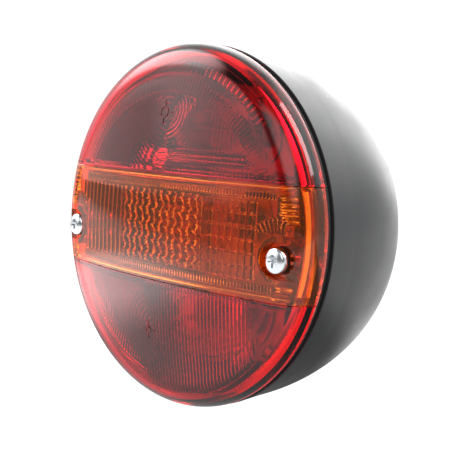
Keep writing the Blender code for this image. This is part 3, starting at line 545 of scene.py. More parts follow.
def prism(outlines: Sequence[Sequence[Point]], low: float, high: float, bevel: float = 0.0) -> bpy.types.Mesh:
    """Raise flat outlines between two planes.

    Args:
        outlines: Closed outlines: the first is the edge, and the rest are holes in it.
        low: Where the solid starts, forward.
        high: Where it ends.
        bevel: Size of the rounding along its edges.

    Returns:
        A closed mesh in lamp axes.
    """
    curve = bpy.data.curves.new("outline", "CURVE")
    curve.dimensions = "2D"
    curve.fill_mode = "BOTH"
    curve.extrude = (high - low) / 2
    for outline in outlines:
        spline = curve.splines.new("POLY")
        spline.points.add(len(outline) - 1)
        for point, (x, y) in zip(spline.points, outline):
            point.co = (x, y, 0, 1)
        spline.use_cyclic_u = True
    holder = bpy.data.objects.new("outline", curve)
    bpy.context.scene.collection.objects.link(holder)
    mesh = flattened(holder)
    shape = bmesh.new()
    shape.from_mesh(mesh)
    bmesh.ops.remove_doubles(shape, verts=shape.verts, dist=0.001 * MM)
    bmesh.ops.translate(shape, verts=shape.verts, vec=(0, 0, (low + high) / 2))
    if bevel > 0:
        bmesh.ops.dissolve_limit(shape, angle_limit=math.radians(1), verts=shape.verts, edges=shape.edges)
        sharp = [e for e in shape.edges if e.calc_face_angle(0.0) > math.radians(60)]
        bmesh.ops.bevel(
            shape, geom=sharp, offset=bevel, segments=2, profile=0.5, affect="EDGES", clamp_overlap=True
        )
    return to_mesh(shape)


def rod(place: Point, radius: float, low: float, high: float, segments: int = ROUND) -> bpy.types.Mesh:
    """A plain round bar between two planes, used to join and to cut."""
    return lathe([(0, high), (radius, high), (radius, low), (0, low)], segments, place)


def block(low: Place, high: Place) -> bpy.types.Mesh:
    """Make a box, used to join and to cut.

    Args:
        low: Its lowest corner in lamp axes.
        high: Its highest corner.

    Returns:
        A closed mesh.
    """
    shape = bmesh.new()
    bmesh.ops.create_cube(shape, size=1.0)
    size = Vector(high) - Vector(low)
    bmesh.ops.transform(shape, matrix=Matrix.Diagonal((*size, 1.0)), verts=shape.verts)
    bmesh.ops.translate(shape, verts=shape.verts, vec=(Vector(high) + Vector(low)) / 2)
    return to_mesh(shape)


def flattened(holder: bpy.types.Object) -> bpy.types.Mesh:
    """Turn an object as its modifiers show it into a plain mesh.

    Args:
        holder: The object, which is dropped.

    Returns:
        The mesh.
    """
    evaluated = holder.evaluated_get(bpy.context.evaluated_depsgraph_get())
    mesh = bpy.data.meshes.new_from_object(evaluated)
    bpy.data.objects.remove(holder, do_unlink=True)
    return mesh


def combined(base: bpy.types.Mesh, steps: Sequence[tuple[Join, bpy.types.Mesh]]) -> bpy.types.Mesh:
    """Join, cut or trim a solid with others, in order.

    Args:
        base: The solid to change.
        steps: What to do, each with the solid to do it with.

    Returns:
        The new solid.
    """
    holder = bpy.data.objects.new("base", base)
    bpy.context.scene.collection.objects.link(holder)
    tools = []
    for join, mesh in steps:
        tool = bpy.data.objects.new("tool", mesh)
        bpy.context.scene.collection.objects.link(tool)
        tools.append(tool)
        modifier = holder.modifiers.new("step", "BOOLEAN")
        modifier.operation = join.value
        modifier.solver = "MANIFOLD"
        modifier.object = tool
    mesh = flattened(holder)
    for tool in tools:
        bpy.data.objects.remove(tool, do_unlink=True)
    return mesh


def merged(*meshes: bpy.types.Mesh) -> bpy.types.Mesh:
    """Put several solids in one mesh, as separate bodies.

    Args:
        meshes: The solids.

    Returns:
        The shared mesh.
    """
    shape = bmesh.new()
    for mesh in meshes:
        shape.from_mesh(mesh)
    mesh = bpy.data.meshes.new("shape")
    shape.to_mesh(mesh)
    shape.free()
    return mesh


# ---------------------------------------------------------------- geometry node trees


class GeometryTree:
    """A geometry node tree with named sizes, ended by Realize Instances and Set Material."""

    def __init__(self, name: str) -> None:
        """Start a tree with a geometry input and output.

        Args:
            name: The tree's name.
        """
        self.tree = bpy.data.node_groups.new(name, "GeometryNodeTree")
        geometry = "NodeSocketGeometry"
        self.tree.interface.new_socket("Geometry", in_out="INPUT", socket_type=geometry)
        self.tree.interface.new_socket("Geometry", in_out="OUTPUT", socket_type=geometry)
        self.start = self.tree.nodes.new("NodeGroupInput")
        self.sizes: dict[str, str] = {}

    def size(self, name: str, whole: bool = False) -> bpy.types.NodeSocket:
        """Add a named size.

        Args:
            name: Its name.
            whole: Whether it is a whole number.

        Returns:
            Its socket inside the tree.
        """
        kind = "NodeSocketInt" if whole else "NodeSocketFloat"
        entry = self.tree.interface.new_socket(name, in_out="INPUT", socket_type=kind)
        self.sizes[name] = entry.identifier
        return self.start.outputs[name]

    def add(self, kind: str, inputs: dict | None = None, **settings) -> bpy.types.Node:
        """Add a node to this tree."""
        return add_node(self.tree, kind, inputs, **settings)

    def end(self, geometry: bpy.types.Node | bpy.types.NodeSocket, finish: Finish) -> None:
        """Close the tree: real geometry in one finish.

        Args:
            geometry: What the tree has made.
            finish: What it is made of.
        """
        real = self.add("GeometryNodeRealizeInstances", {0: geometry})
        dressed = self.add("GeometryNodeSetMaterial", {0: real, "Material": SHELF.take(finish)})
        self.add("NodeGroupOutput", {0: dressed})

    def run(self, sizes: dict[str, float], base: bpy.types.Mesh | None = None) -> bpy.types.Mesh:
        """Run the tree on a mesh and return the plain mesh it makes.

        Args:
            sizes: A value for each named size.
            base: The mesh it starts from, or none for an empty one.

        Returns:
            The finished mesh, with no modifier left.
        """
        holder = bpy.data.objects.new("holder", base or bpy.data.meshes.new("empty"))
        modifier = holder.modifiers.new("tree", "NODES")
        modifier.node_group = self.tree
        for name, value in sizes.items():
            modifier[self.sizes[name]] = value
        bpy.context.scene.collection.objects.link(holder)
        return flattened(holder)


class HelixTree(GeometryTree):
    """A wire or ridge wound about the forward axis: springs, filaments and screw threads."""

    def __init__(self, finish: Finish, sides: int) -> None:
        """Build the tree.

        Args:
            finish: What the wire is made of.
            sides: How many sides the wire has.
        """
        super().__init__(f"helix_{finish.name}_{sides}")
        radius = self.size("Radius")
        inputs = {
            "Resolution": self.size("Steps per turn", whole=True),
            "Rotations": self.size("Turns"),
            "Start Radius": radius,
            "End Radius": radius,
            "Height": self.size("Height"),
        }
        spiral = self.add("GeometryNodeCurveSpiral", inputs)
        wire = {"Resolution": sides, "Radius": self.size("Wire radius")}
        section = self.add("GeometryNodeCurvePrimitiveCircle", wire)
        swept = self.add("GeometryNodeCurveToMesh", {0: spiral, "Profile Curve": section, "Fill Caps": True})
        self.end(self.add("GeometryNodeSetShadeSmooth", {0: swept}), finish)

    def wind(self, turns: float, radius: float, height: float, wire: float, steps: int) -> bpy.types.Mesh:
        """Wind the wire once.

        Args:
            turns: How often it goes round.
            radius: From the axis to the middle of the wire.
            height: How far it rises.
            wire: The wire's own radius.
            steps: How many steps a turn has.

        Returns:
            The wound wire, rising from the origin.
        """
        sizes = {"Turns": turns, "Radius": radius, "Height": height, "Wire radius": wire}
        return self.run({**sizes, "Steps per turn": steps})


def thread(
    finish: Finish, centre: Point, radius: float, ridge: float, span: Point, pitch: float
) -> bpy.types.Mesh:
    """Wind a thread's ridge on a shank.

    Args:
        finish: What the screw is made of.
        centre: Where its axis stands, across and up.
        radius: Outside the ridge.
        ridge: How far the ridge stands out of the core.
        span: Where the ridge starts and ends, forward.
        pitch: From one turn to the next.

    Returns:
        The ridge.
    """
    run = span[1] - span[0]
    mesh = HelixTree(finish, 4).wind(run / pitch, radius - ridge, run, ridge, 20)
    mesh.transform(Matrix.Translation((*centre, span[0])))
    return mesh


class OpticsTree(GeometryTree):
    """Raises prisms on the back of a lens: the shared parts of both colours' patterns."""

    LAND = 0.55 * MM  # the sheet under the prisms, down to the back of the wall

    def __init__(self, name: str) -> None:
        """Start with the place of each point, across and up, and the depth of the pattern.

        Args:
            name: The tree's name.
        """
        super().__init__(name)
        self.depth = self.size("Depth")
        place = self.add("ShaderNodeSeparateXYZ", {0: self.add("GeometryNodeInputPosition")})
        self.across, self.up = place.outputs[0], place.outputs[1]
        self.side = self.add("ShaderNodeMath", {0: self.across}, operation="ABSOLUTE").outputs[0]
        self.height = self.add("ShaderNodeMath", {0: self.up}, operation="ABSOLUTE").outputs[0]

    def wave(self, value: bpy.types.NodeSocket, pitch: float) -> bpy.types.NodeSocket:
        """Make a smooth wave from 0 to 1.

        Args:
            value: What the wave follows.
            pitch: From one crest to the next.

        Returns:
            The height.
        """
        turns = self.add("ShaderNodeMath", {0: value, 1: pitch}, operation="DIVIDE")
        angle = self.add("ShaderNodeMath", {0: turns, 1: math.tau}, operation="MULTIPLY")
        cosine = self.add("ShaderNodeMath", {0: angle}, operation="COSINE")
        return self.add("ShaderNodeMath", {0: cosine, 1: 0.5, 2: 0.5}, operation="MULTIPLY_ADD").outputs[0]

    def cell(self, value: bpy.types.NodeSocket, pitch: float, edge: float) -> bpy.types.NodeSocket:
        """Make flat lands from 0 to 1 with a groove between them.

        Args:
            value: What the lands follow.
            pitch: From one groove to the next.
            edge: How wide each slope of a groove is.

        Returns:
            The height.
        """
        turns = self.add("ShaderNodeMath", {0: value, 1: pitch}, operation="DIVIDE")
        part = self.add("ShaderNodeMath", {0: turns}, operation="FRACT")
        middle = self.add("ShaderNodeMath", {0: part, 1: 0.5}, operation="SUBTRACT")
        off = self.add("ShaderNodeMath", {0: middle}, operation="ABSOLUTE")
        inputs = {"Value": off, "From Min": 0.5, "From Max": 0.5 - edge / pitch, "To Min": 0.0, "To Max": 1.0}
        return self.add("ShaderNodeMapRange", inputs, interpolation_type="SMOOTHSTEP").outputs[0]

    def window(
        self, value: bpy.types.NodeSocket, low: float, high: float, soft: float = 0.6 * MM
    ) -> bpy.types.NodeSocket:
        """Let a pattern show between two limits only.

        Args:
            value: What is compared with the limits.
            low: Where the pattern starts.
            high: Where it ends.
            soft: How long the slope at each limit is.

        Returns:
            A socket with 1 between the limits and 0 outside.
        """
        ramps = []
        for start, end in ((low, low + soft), (high, high - soft)):
            inputs = {"Value": value, "From Min": start, "From Max": end, "To Min": 0.0, "To Max": 1.0}
            ramps.append(self.add("ShaderNodeMapRange", inputs).outputs[0])
        return self.product(*ramps)

    def chain(self, operation: str, values: Sequence[bpy.types.NodeSocket | float]) -> bpy.types.NodeSocket:
        """Put several values through one kind of sum, from left to right.

        Args:
            operation: Blender's name for the sum.
            values: The values, of which the first is a socket.

        Returns:
            The socket with the result.
        """
        total = values[0]
        for value in values[1:]:
            total = self.add("ShaderNodeMath", {0: total, 1: value}, operation=operation).outputs[0]
        return total

    def product(self, *factors: bpy.types.NodeSocket | float) -> bpy.types.NodeSocket:
        """Multiply values."""
        return self.chain("MULTIPLY", factors)

    def sum(self, *terms: bpy.types.NodeSocket | float) -> bpy.types.NodeSocket:
        """Add values."""
        return self.chain("ADD", terms)

    def offset(self, across: float, up: float | bpy.types.NodeSocket) -> tuple[bpy.types.NodeSocket, ...]:
        """How far each point lies beside and above an axis."""
        return self.chain("SUBTRACT", (self.across, across)), self.chain("SUBTRACT", (self.up, up))

    def distance(self, across: float, up: float | bpy.types.NodeSocket) -> bpy.types.NodeSocket:
        """Measure how far each point lies from an axis.

        Args:
            across: Where the axis stands.
            up: How high it stands.

        Returns:
            The socket with the distance.
        """
        aside, above = self.offset(across, up)
        squares = self.sum(self.product(aside, aside), self.product(above, above))
        return self.chain("POWER", (squares, 0.5))

    def angle(self, across: float = 0.0, up: float = 0.0) -> bpy.types.NodeSocket:
        """The direction of each point from an axis, in radians."""
        aside, above = self.offset(across, up)
        return self.chain("ARCTAN2", (above, aside))

    def finish_pattern(self, patterns: Sequence[bpy.types.NodeSocket], finish: Finish) -> None:
        """Push the marked points backwards by the land and the patterns, and close the tree.

        Args:
            patterns: The heights that are added up.
            finish: What the lens is made of.
        """
        land = {0: self.sum(*patterns), 1: self.depth, 2: self.LAND}
        height = self.add("ShaderNodeMath", land, operation="MULTIPLY_ADD").outputs[0]
        mark = self.add("GeometryNodeInputNamedAttribute", {"Name": "optic"}, data_type="FLOAT")
        offset = self.add("ShaderNodeCombineXYZ", {2: self.product(height, mark.outputs[0], -1.0)})
        moved = self.add("GeometryNodeSetPosition", {0: self.start.outputs[0], "Offset": offset})
        self.end(moved, finish)


class AmberOptics(OpticsTree):
    """The amber lens: flutes, wavy pillows and a grid side by side, between two combs of short ribs."""

    # How far each zone runs from left to right, or from the middle outwards
    FLUTES = (-52 * MM, -21 * MM)
    PILLOWS = (-21 * MM, 24 * MM)
    GRID = (25 * MM, 48 * MM)
    COMBS = (-50 * MM, 55 * MM)
    RUNGS = (56 * MM, 64 * MM)
    FANS = (48 * MM, 60 * MM)
    # How far each zone lies above and below the middle
    FIELD = (-20 * MM, 13.9 * MM)
    COMB_ROWS = (14.6 * MM, 17.4 * MM)
    RUNG_ROWS = (6 * MM, 17 * MM)
    BEAD_ROWS = (17.9 * MM, 19.4 * MM, 0.7 * MM)
    # Round each well
    FAN_RING = (8.6 * MM, 14.5 * MM)
    FAN_PITCH = 0.131  # radians

    def __init__(self, finish: Finish) -> None:
        """Build the tree.

        Args:
            finish: What the lens is made of.
        """
        super().__init__("amber_optics")
        field = self.window(self.height, *self.FIELD)
        flutes = self.cell(self.across, 3.1 * MM, 1.0 * MM)
        combs = self.product(self.wave(self.across, 1.4 * MM), self.window(self.height, *self.COMB_ROWS))
        rungs = self.product(self.wave(self.up, 1.9 * MM), self.window(self.height, *self.RUNG_ROWS))
        patterns = [
            self.product(flutes, self.window(self.across, *self.FLUTES), field),
            self.product(self.pillows(), self.window(self.across, *self.PILLOWS), field),
            self.product(self.grid(), self.window(self.across, *self.GRID), field, 0.9),
            self.product(combs, self.window(self.across, *self.COMBS), 0.8),
            self.product(rungs, self.window(self.side, *self.RUNGS), 1.1),
            self.product(self.window(self.height, *self.BEAD_ROWS), 0.9),
        ]
        patterns += [self.product(self.fan(side), field) for side in SIDES.values()]
        self.finish_pattern(patterns, finish)

    def pillows(self) -> bpy.types.NodeSocket:
        """Make rounded cells whose columns sway from row to row.

        Returns:
            The height.
        """
        sway = self.product(self.wave(self.up, 5.8 * MM), 1.3 * MM)
        loose = self.add("ShaderNodeTexNoise", {"Scale": 1 / (5 * MM), "Detail": 1.0}).outputs[0]
        column = self.wave(self.sum(self.across, sway, self.product(loose, 2.2 * MM)), 3.7 * MM)
        lift = self.product(self.wave(self.across, 7.4 * MM), 0.9 * MM)
        row = self.wave(self.sum(self.up, lift), 2.9 * MM)
        shared = self.sum(self.product(row, 0.75), 0.25)
        return self.product(column, shared, 1.9)

    def grid(self) -> bpy.types.NodeSocket:
        """Make upright lands cut by grooves that cross at right angles.

        Returns:
            The height.
        """
        columns = self.cell(self.across, 2.9 * MM, 0.6 * MM)
        rows = self.cell(self.up, 4.6 * MM, 0.6 * MM)
        return self.chain("MINIMUM", (columns, rows))

    def fan(self, side: int) -> bpy.types.NodeSocket:
        """Make short ribs that fan out round one screw well.

        Args:
            side: 1 on the right, -1 on the left.

        Returns:
            The height.
        """
        across, up = side * LENS_SCREW[0], LENS_SCREW[1]
        ribs = self.wave(self.angle(across, up), self.FAN_PITCH)
        ring = self.window(self.distance(across, up), *self.FAN_RING)
        return self.product(ribs, ring, self.window(self.side, *self.FANS))


class RedOptics(OpticsTree):
    """A red lens: rings about its bulb, upright ribs beside them, and fine ribs towards the rim."""

    # Distances from the middle of the lens
    FACE = (-1 * MM, 50 * MM)
    RIM = (50.5 * MM, 56.5 * MM)
    CORNER = (58.5 * MM, 62 * MM)
    ALL = (-1 * MM, 62.5 * MM)
    RIM_RIBS = 200
    CORNER_RIBS = 150
    CORNER_TURN = (math.radians(40), math.radians(86), 0.1)
    # Distances from the bulb's axis
    RINGS = (-1 * MM, 17 * MM)
    RIBS = (17.5 * MM, 90 * MM)
    # The steep zone starts on a circle about a point on the left
    STEEP_AXIS = -31 * MM
    STEEP = (27.5 * MM, 82 * MM, 6 * MM)
    BEAD_ROWS = (20.9 * MM, 22.6 * MM, 0.8 * MM)

    def __init__(self, finish: Finish) -> None:
        """Build the tree, with sizes for the bulb's height and for how far two zones stand out.

        Args:
            finish: What the lens is made of.
        """
        super().__init__("red_optics")
        middle = self.size("Middle")
        away = self.distance(0.0, middle)
        out = self.distance(0.0, 0.0)
        turn = self.angle()
        face = self.window(out, *self.FACE)
        ribs = self.wave(self.across, 1.7 * MM)
        right = self.window(self.distance(self.STEEP_AXIS, middle), *self.STEEP)
        corner = self.product(self.window(out, *self.CORNER), self.window(turn, *self.CORNER_TURN))
        patterns = [
            self.product(self.wave(away, 2.0 * MM), self.window(away, *self.RINGS), face),
            self.product(ribs, self.window(away, *self.RIBS), face, 0.7),
            self.product(ribs, right, self.window(out, *self.ALL), self.size("Steep")),
            self.product(self.wave(turn, math.tau / self.RIM_RIBS), self.window(out, *self.RIM)),
            self.product(self.wave(turn, math.tau / self.CORNER_RIBS), corner, 5.0),
            self.product(self.swath(away), face, self.size("Swath")),
            self.product(self.window(self.height, *self.BEAD_ROWS), 6.0),
        ]
        self.finish_pattern(patterns, finish)

    def swath(self, away: bpy.types.NodeSocket) -> bpy.types.NodeSocket:
        """Make close arcs in a slanting band and a wedge below it, over a strip of level ribs.

        Args:
            away: How far each point lies from the bulb's axis.

        Returns:
            The height.
        """
        lean = self.sum(self.across, self.product(self.up, -0.42))
        band = self.window(lean, -15.5 * MM, -6.5 * MM, 2 * MM)
        wedge = self.window(self.distance(-9 * MM, 21 * MM), -1 * MM, 11 * MM, 3 * MM)
        arcs = self.product(self.wave(away, 1.6 * MM), self.chain("MAXIMUM", (band, wedge)))
        low = self.window(self.up, 22.8 * MM, 31 * MM, 3 * MM)
        wide = self.window(self.across, -18 * MM, 48 * MM, 9 * MM)
        return self.sum(arcs, self.product(self.wave(self.up, 1.5 * MM), low, wide))


# ---------------------------------------------------------------- sub-assemblies


@dataclass
class Assembly:
    """What every sub-assembly shares: the CAD body its pieces ride on."""

    body: str

    def place(
        self, name: str, mesh: bpy.types.Mesh, finish: Finish, sharp: float = 35.0
    ) -> bpy.types.Object:
        """Finish a piece: turn it into scene axes, shade and dress it, and hang it on its body.

        Args:
            name: The piece's name, which is also the name of the CAD node it stands for.
            mesh: Its mesh in lamp axes.
            finish: What it is made of.
            sharp: Edges over this angle, in degrees, stay sharp.

        Returns:
            The placed object.
        """
        mesh.transform(LAMP_AXES)
        mesh.name = name
        mesh.materials.clear()
        mesh.materials.append(SHELF.take(finish))
        mesh.shade_smooth()
        mesh.set_sharp_from_angle(angle=math.radians(sharp))
        piece = bpy.data.objects.new(name, mesh)
        bpy.context.scene.collection.objects.link(piece)
        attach(piece, self.body)
        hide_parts(name)
        mesh.calc_loop_triangles()
        log.info("%s: %s, %d triangles", name, finish.name, len(mesh.loop_triangles))
        return piece


@dataclass
class LensShape:
    """The section of the whole lens: a dome, a round shoulder and a locating skirt."""

    crown: float = 86.4 * MM
    face: float = 58.2 * MM
    dome: float = 6.1 * MM
    shoulder: float = 11.7 * MM
    start: float = 68.6 * MM
    edge: float = 67.6 * MM
    edge_radius: float = 69.5 * MM
    wall: float = 2.5 * MM
    skirt_outer: float = 66.35 * MM
    skirt_inner: float = 65.05 * MM
    skirt_end: float = 62.5 * MM
    steps: int = 20

    def cap(self, crown: float) -> list[Point]:
        """The dome's points from its crown outwards."""
        shares = [i / self.steps for i in range(self.steps)]
        return [(self.face * s, crown - self.dome * s * s) for s in shares]

    def outside(self, inset: float = 0.0) -> list[Point]:
        """Draw the outside from the crown to the edge.

        Args:
            inset: How far the points lie inside the real surface.

        Returns:
            (radius, forward) points.
        """
        turn = arc((self.face, self.start), self.shoulder - inset, 90, 0, self.steps)
        return self.cap(self.crown - inset) + turn + [(self.edge_radius - inset, self.edge)]

    def section(self) -> list[Point]:
        """Draw the closed section, from the crown round the edge and skirt to the inner side.

        Returns:
            (radius, forward) points.
        """
        inner = self.shoulder - self.wall
        angle = math.degrees(math.acos((self.skirt_inner - self.face) / inner))
        outer = self.outside()
        lip = [outer[-1], (self.skirt_outer, self.edge, 0.3 * MM), (self.skirt_outer, self.skirt_end)]
        turn = arc((self.face, self.start), inner, angle, 90, 12)
        back = self.cap(self.crown - self.wall)[::-1]
        return outer[:-1] + eased(lip) + [(self.skirt_inner, self.skirt_end)] + turn + back

    def hull(self, inset: float) -> bpy.types.Mesh:
        """The solid inside the outer surface, smaller by an inset."""
        return lathe(self.outside(inset) + [(0, self.edge)], FINE_ROUND)

    def back_of_wall(self, radius: np.ndarray) -> np.ndarray:
        """Work out how far forward the inner surface lies.

        Args:
            radius: Distances from the middle of the lens.

        Returns:
            The place of the surface at each of them.
        """
        dome = self.crown - self.wall - self.dome * (radius / self.face) ** 2
        inner = self.shoulder - self.wall
        beyond = np.clip(radius - self.face, 0, inner * 0.98)
        turn = self.start + np.sqrt(inner**2 - beyond**2)
        return np.where(radius < self.face, dome, turn)


@dataclass
class LensBand(Assembly):
    """One band of the lens between two heights, with its optics on the back."""

    name: str
    finish: Finish
    low: float
    high: float
    shape: LensShape
    step: float = 0.28 * MM
    reach: float = 64.2 * MM
    edge: float = 0.5 * MM
    sunk: Point = (0.4 * MM, 1.3 * MM)

    def blank(self, skip: Callable[[np.ndarray, np.ndarray], np.ndarray] | None = None) -> bpy.types.Mesh:
        """Make a sheet of fine cells that lies in the wall, for a tree to push out of its back.

        Args:
            skip: Says which places the sheet leaves free, if any.

        Returns:
            A closed mesh with an "optic" mark of 1 away from its edges.
        """
        low, high = max(self.low, -self.reach) + self.edge, min(self.high, self.reach) - self.edge
        columns = np.arange(-self.reach, self.reach + self.step, self.step)
        rows = np.arange(low, high + self.step / 2, self.step)
        x, y = np.meshgrid(columns, rows, indexing="ij")
        radius = np.hypot(x, y)
        keep = radius < self.reach
        if skip is not None:
            keep &= ~skip(x, y)
        cells = keep[:-1, :-1] & keep[1:, :-1] & keep[:-1, 1:] & keep[1:, 1:]
        wall = self.shape.back_of_wall(radius)
        sides = [np.stack([x, y, wall + sunk], -1).reshape(-1, 3) for sunk in self.sunk]
        faces = self.cell_faces(cells, x.shape)
        mesh = bpy.data.meshes.new("blank")
        mesh.from_pydata(np.concatenate(sides).tolist(), [], faces.tolist())
        mesh.update()
        inner = np.zeros(x.shape)
        inner[1:-1, 1:-1] = cells[:-1, :-1] & cells[1:, :-1] & cells[:-1, 1:] & cells[1:, 1:]
        marks = np.concatenate([inner.reshape(-1), np.zeros(x.size)])
        mark = mesh.attributes.new("optic", "FLOAT", "POINT")
        mark.data.foreach_set("value", marks.astype(np.float32))
        shape = bmesh.new()
        shape.from_mesh(mesh)
        loose = [v for v in shape.verts if not v.link_faces]
        bmesh.ops.delete(shape, geom=loose, context="VERTS")
        shape.to_mesh(mesh)
        shape.free()
        return mesh

    @staticmethod
    def cell_faces(cells: np.ndarray, shape: tuple[int, int]) -> np.ndarray:
        """List the faces that close a sheet: its two sides, and its edge wherever a cell has no neighbour.

        Args:
            cells: Which cells of the grid are filled.
            shape: How many points the grid has each way.

        Returns:
            Four point numbers for each face. The second side's points follow the first side's.
        """
        count = shape[0] * shape[1]
        i, j = np.nonzero(cells)
        corner = i * shape[1] + j
        quads = np.stack([corner, corner + shape[1], corner + shape[1] + 1, corner + 1], -1)
        faces = [quads[:, ::-1], quads + count]
        padded = np.pad(cells, 1)
        for edge, (di, dj) in enumerate(((0, -1), (1, 0), (0, 1), (-1, 0))):
            open_side = ~padded[i + 1 + di, j + 1 + dj]
            one, two = quads[open_side, edge], quads[open_side, (edge + 1) % 4]
            faces.append(np.stack([one, two, two + count, one + count], -1))
        return np.concatenate(faces)

    def trim(self) -> bpy.types.Mesh:
        """The slice of space that this band fills."""
        wide = 90 * MM
        return block((-wide, self.low, 0), (wide, self.high, 120 * MM))

    def additions(self) -> list[tuple[Join, bpy.types.Mesh]]:
        """What is moulded onto the band before it is trimmed."""
        return []

    def optics(self) -> bpy.types.Mesh:
        """The raised pattern of this band."""
        raise NotImplementedError

    def build(self) -> None:
        """Make the band."""
        steps = [*self.additions(), (Join.KEEP, self.trim()), (Join.ADD, self.optics())]
        mesh = combined(lathe(self.shape.section(), FINE_ROUND), steps)
        self.place(self.name, mesh, self.finish, 30)


@dataclass
class RedBand(LensBand):
    """An outer band, with a moulded mark in front of its bulb."""

    optic_up: float = 0.0
    steep: float = 0.0
    swath: float = 0.0
    mark_at: Point = (0.0, 0.0)
    mark_radius: float = 2.0 * MM
    mark_line: float = 0.22 * MM

    def optics(self) -> bpy.types.Mesh:
        """Raise the rings and ribs.

        Returns:
            The pattern, as a closed mesh in the wall.
        """
        sizes = {"Depth": 0.07 * MM, "Middle": self.optic_up, "Steep": self.steep, "Swath": self.swath}
        return RedOptics(self.finish).run(sizes, self.blank())

    def additions(self) -> list[tuple[Join, bpy.types.Mesh]]:
        """Draw the fine moulded ring with four ticks.

        Returns:
            Its strokes, each to be joined to the band.
        """
        ring, line = self.mark_radius, self.mark_line
        low, high = 75 * MM, 90 * MM
        gap, half = 1.3 * MM, 0.9 * MM
        section = [(ring - line, high), (ring + line, high), (ring + line, low), (ring - line, low)]
        strokes = [lathe(section, ROUND, self.mark_at, ring=True)]
        for dx, dy in ((1, 0), (0, 1), (-1, 0), (0, -1)):
            x, y = self.mark_at[0] + dx * (ring + gap), self.mark_at[1] + dy * (ring + gap)
            half_x, half_y = line + abs(dx) * half, line + abs(dy) * half
            strokes.append(block((x - half_x, y - half_y, low), (x + half_x, y + half_y, high)))
        proud, root = -0.2 * MM, 1.0 * MM
        skin = [(Join.KEEP, self.shape.hull(proud)), (Join.CUT, self.shape.hull(root))]
        return [(Join.ADD, combined(stroke, skin)) for stroke in strokes]


@dataclass
class AmberBand(LensBand):
    """The middle band, with a well, a tube and three light webs for each lens screw."""

    well_radius: float = 6.25 * MM
    well_floor: float = 77.3 * MM
    cup_radius: float = 8.3 * MM
    cup_back: float = 74.8 * MM
    cup_end: float = 69.9 * MM
    tube_radius: float = 5.0 * MM
    tube_back: float = 62.1 * MM
    bore: float = 2.8 * MM
    web_span: Point = (63.2 * MM, 69.0 * MM)
    web_pitch: float = 2.6 * MM
    web_width: float = 1.0 * MM
    web_rise: Point = (-0.6 * MM, 1.5 * MM)

    def optics(self) -> bpy.types.Mesh:
        """Raise the flutes, pillows, grid and ribs, clear of the wells.

        Returns:
            The pattern, as a closed mesh in the wall.
        """
        tall = self.cup_radius + 0.3 * MM
        near = LENS_SCREW[0] - tall
        blank = self.blank(lambda x, y: (np.abs(x) > near) & (np.abs(y - LENS_SCREW[1]) < tall))
        return AmberOptics(self.finish).run({"Depth": 0.7 * MM}, blank)

    def slot(self, side: int, radius: float, end: float) -> list[Point]:
        """Draw half a circle round a screw, with straight sides out to an end.

        Args:
            side: 1 on the right, -1 on the left.
            radius: The half circle's radius.
            end: How far out the sides run.

        Returns:
            The closed outline.
        """
        turn = -90 if side < 0 else 90
        outline = arc((side * LENS_SCREW[0], LENS_SCREW[1]), radius, turn, turn + 180, 24)
        return outline + [(side * end, outline[-1][1]), (side * end, outline[0][1])]

    def webs(self, side: int) -> Iterator[tuple[Join, bpy.types.Mesh]]:
        """Make the webs in the floor of one well.

        Args:
            side: 1 on the right, -1 on the left.

        Yields:
            Each web, to be joined to the band.
        """
        near, far = sorted(side * end for end in self.web_span)
        back, front = (self.well_floor + rise for rise in self.web_rise)
        half = self.web_width / 2
        for i in (-1, 0, 1):
            middle = LENS_SCREW[1] + i * self.web_pitch
            web = block((near, middle - half, back), (far, middle + half, front))
            yield Join.ADD, combined(web, [(Join.KEEP, self.shape.hull(0.2 * MM))])

    def additions(self) -> list[tuple[Join, bpy.types.Mesh]]:
        """Make the wells, tubes, bores and webs of both screws.

        Returns:
            Each of them, with how it joins the band.
        """
        steps = []
        crown = self.shape.crown
        for side in SIDES.values():
            place = (side * LENS_SCREW[0], LENS_SCREW[1])
            cup = prism([self.slot(side, self.cup_radius, self.cup_end)], self.cup_back, crown)
            outline = self.slot(side, self.well_radius, self.cup_end + PAST)
            well = prism([outline], self.well_floor, crown + PAST)
            steps += [
                (Join.ADD, combined(cup, [(Join.KEEP, self.shape.hull(1.2 * MM))])),
                (Join.ADD, rod(place, self.tube_radius, self.tube_back, self.cup_back + MM)),
                (Join.CUT, well),
                (Join.CUT, rod(place, self.bore, self.tube_back - PAST, crown + PAST)),
                *self.webs(side),
            ]
        return steps


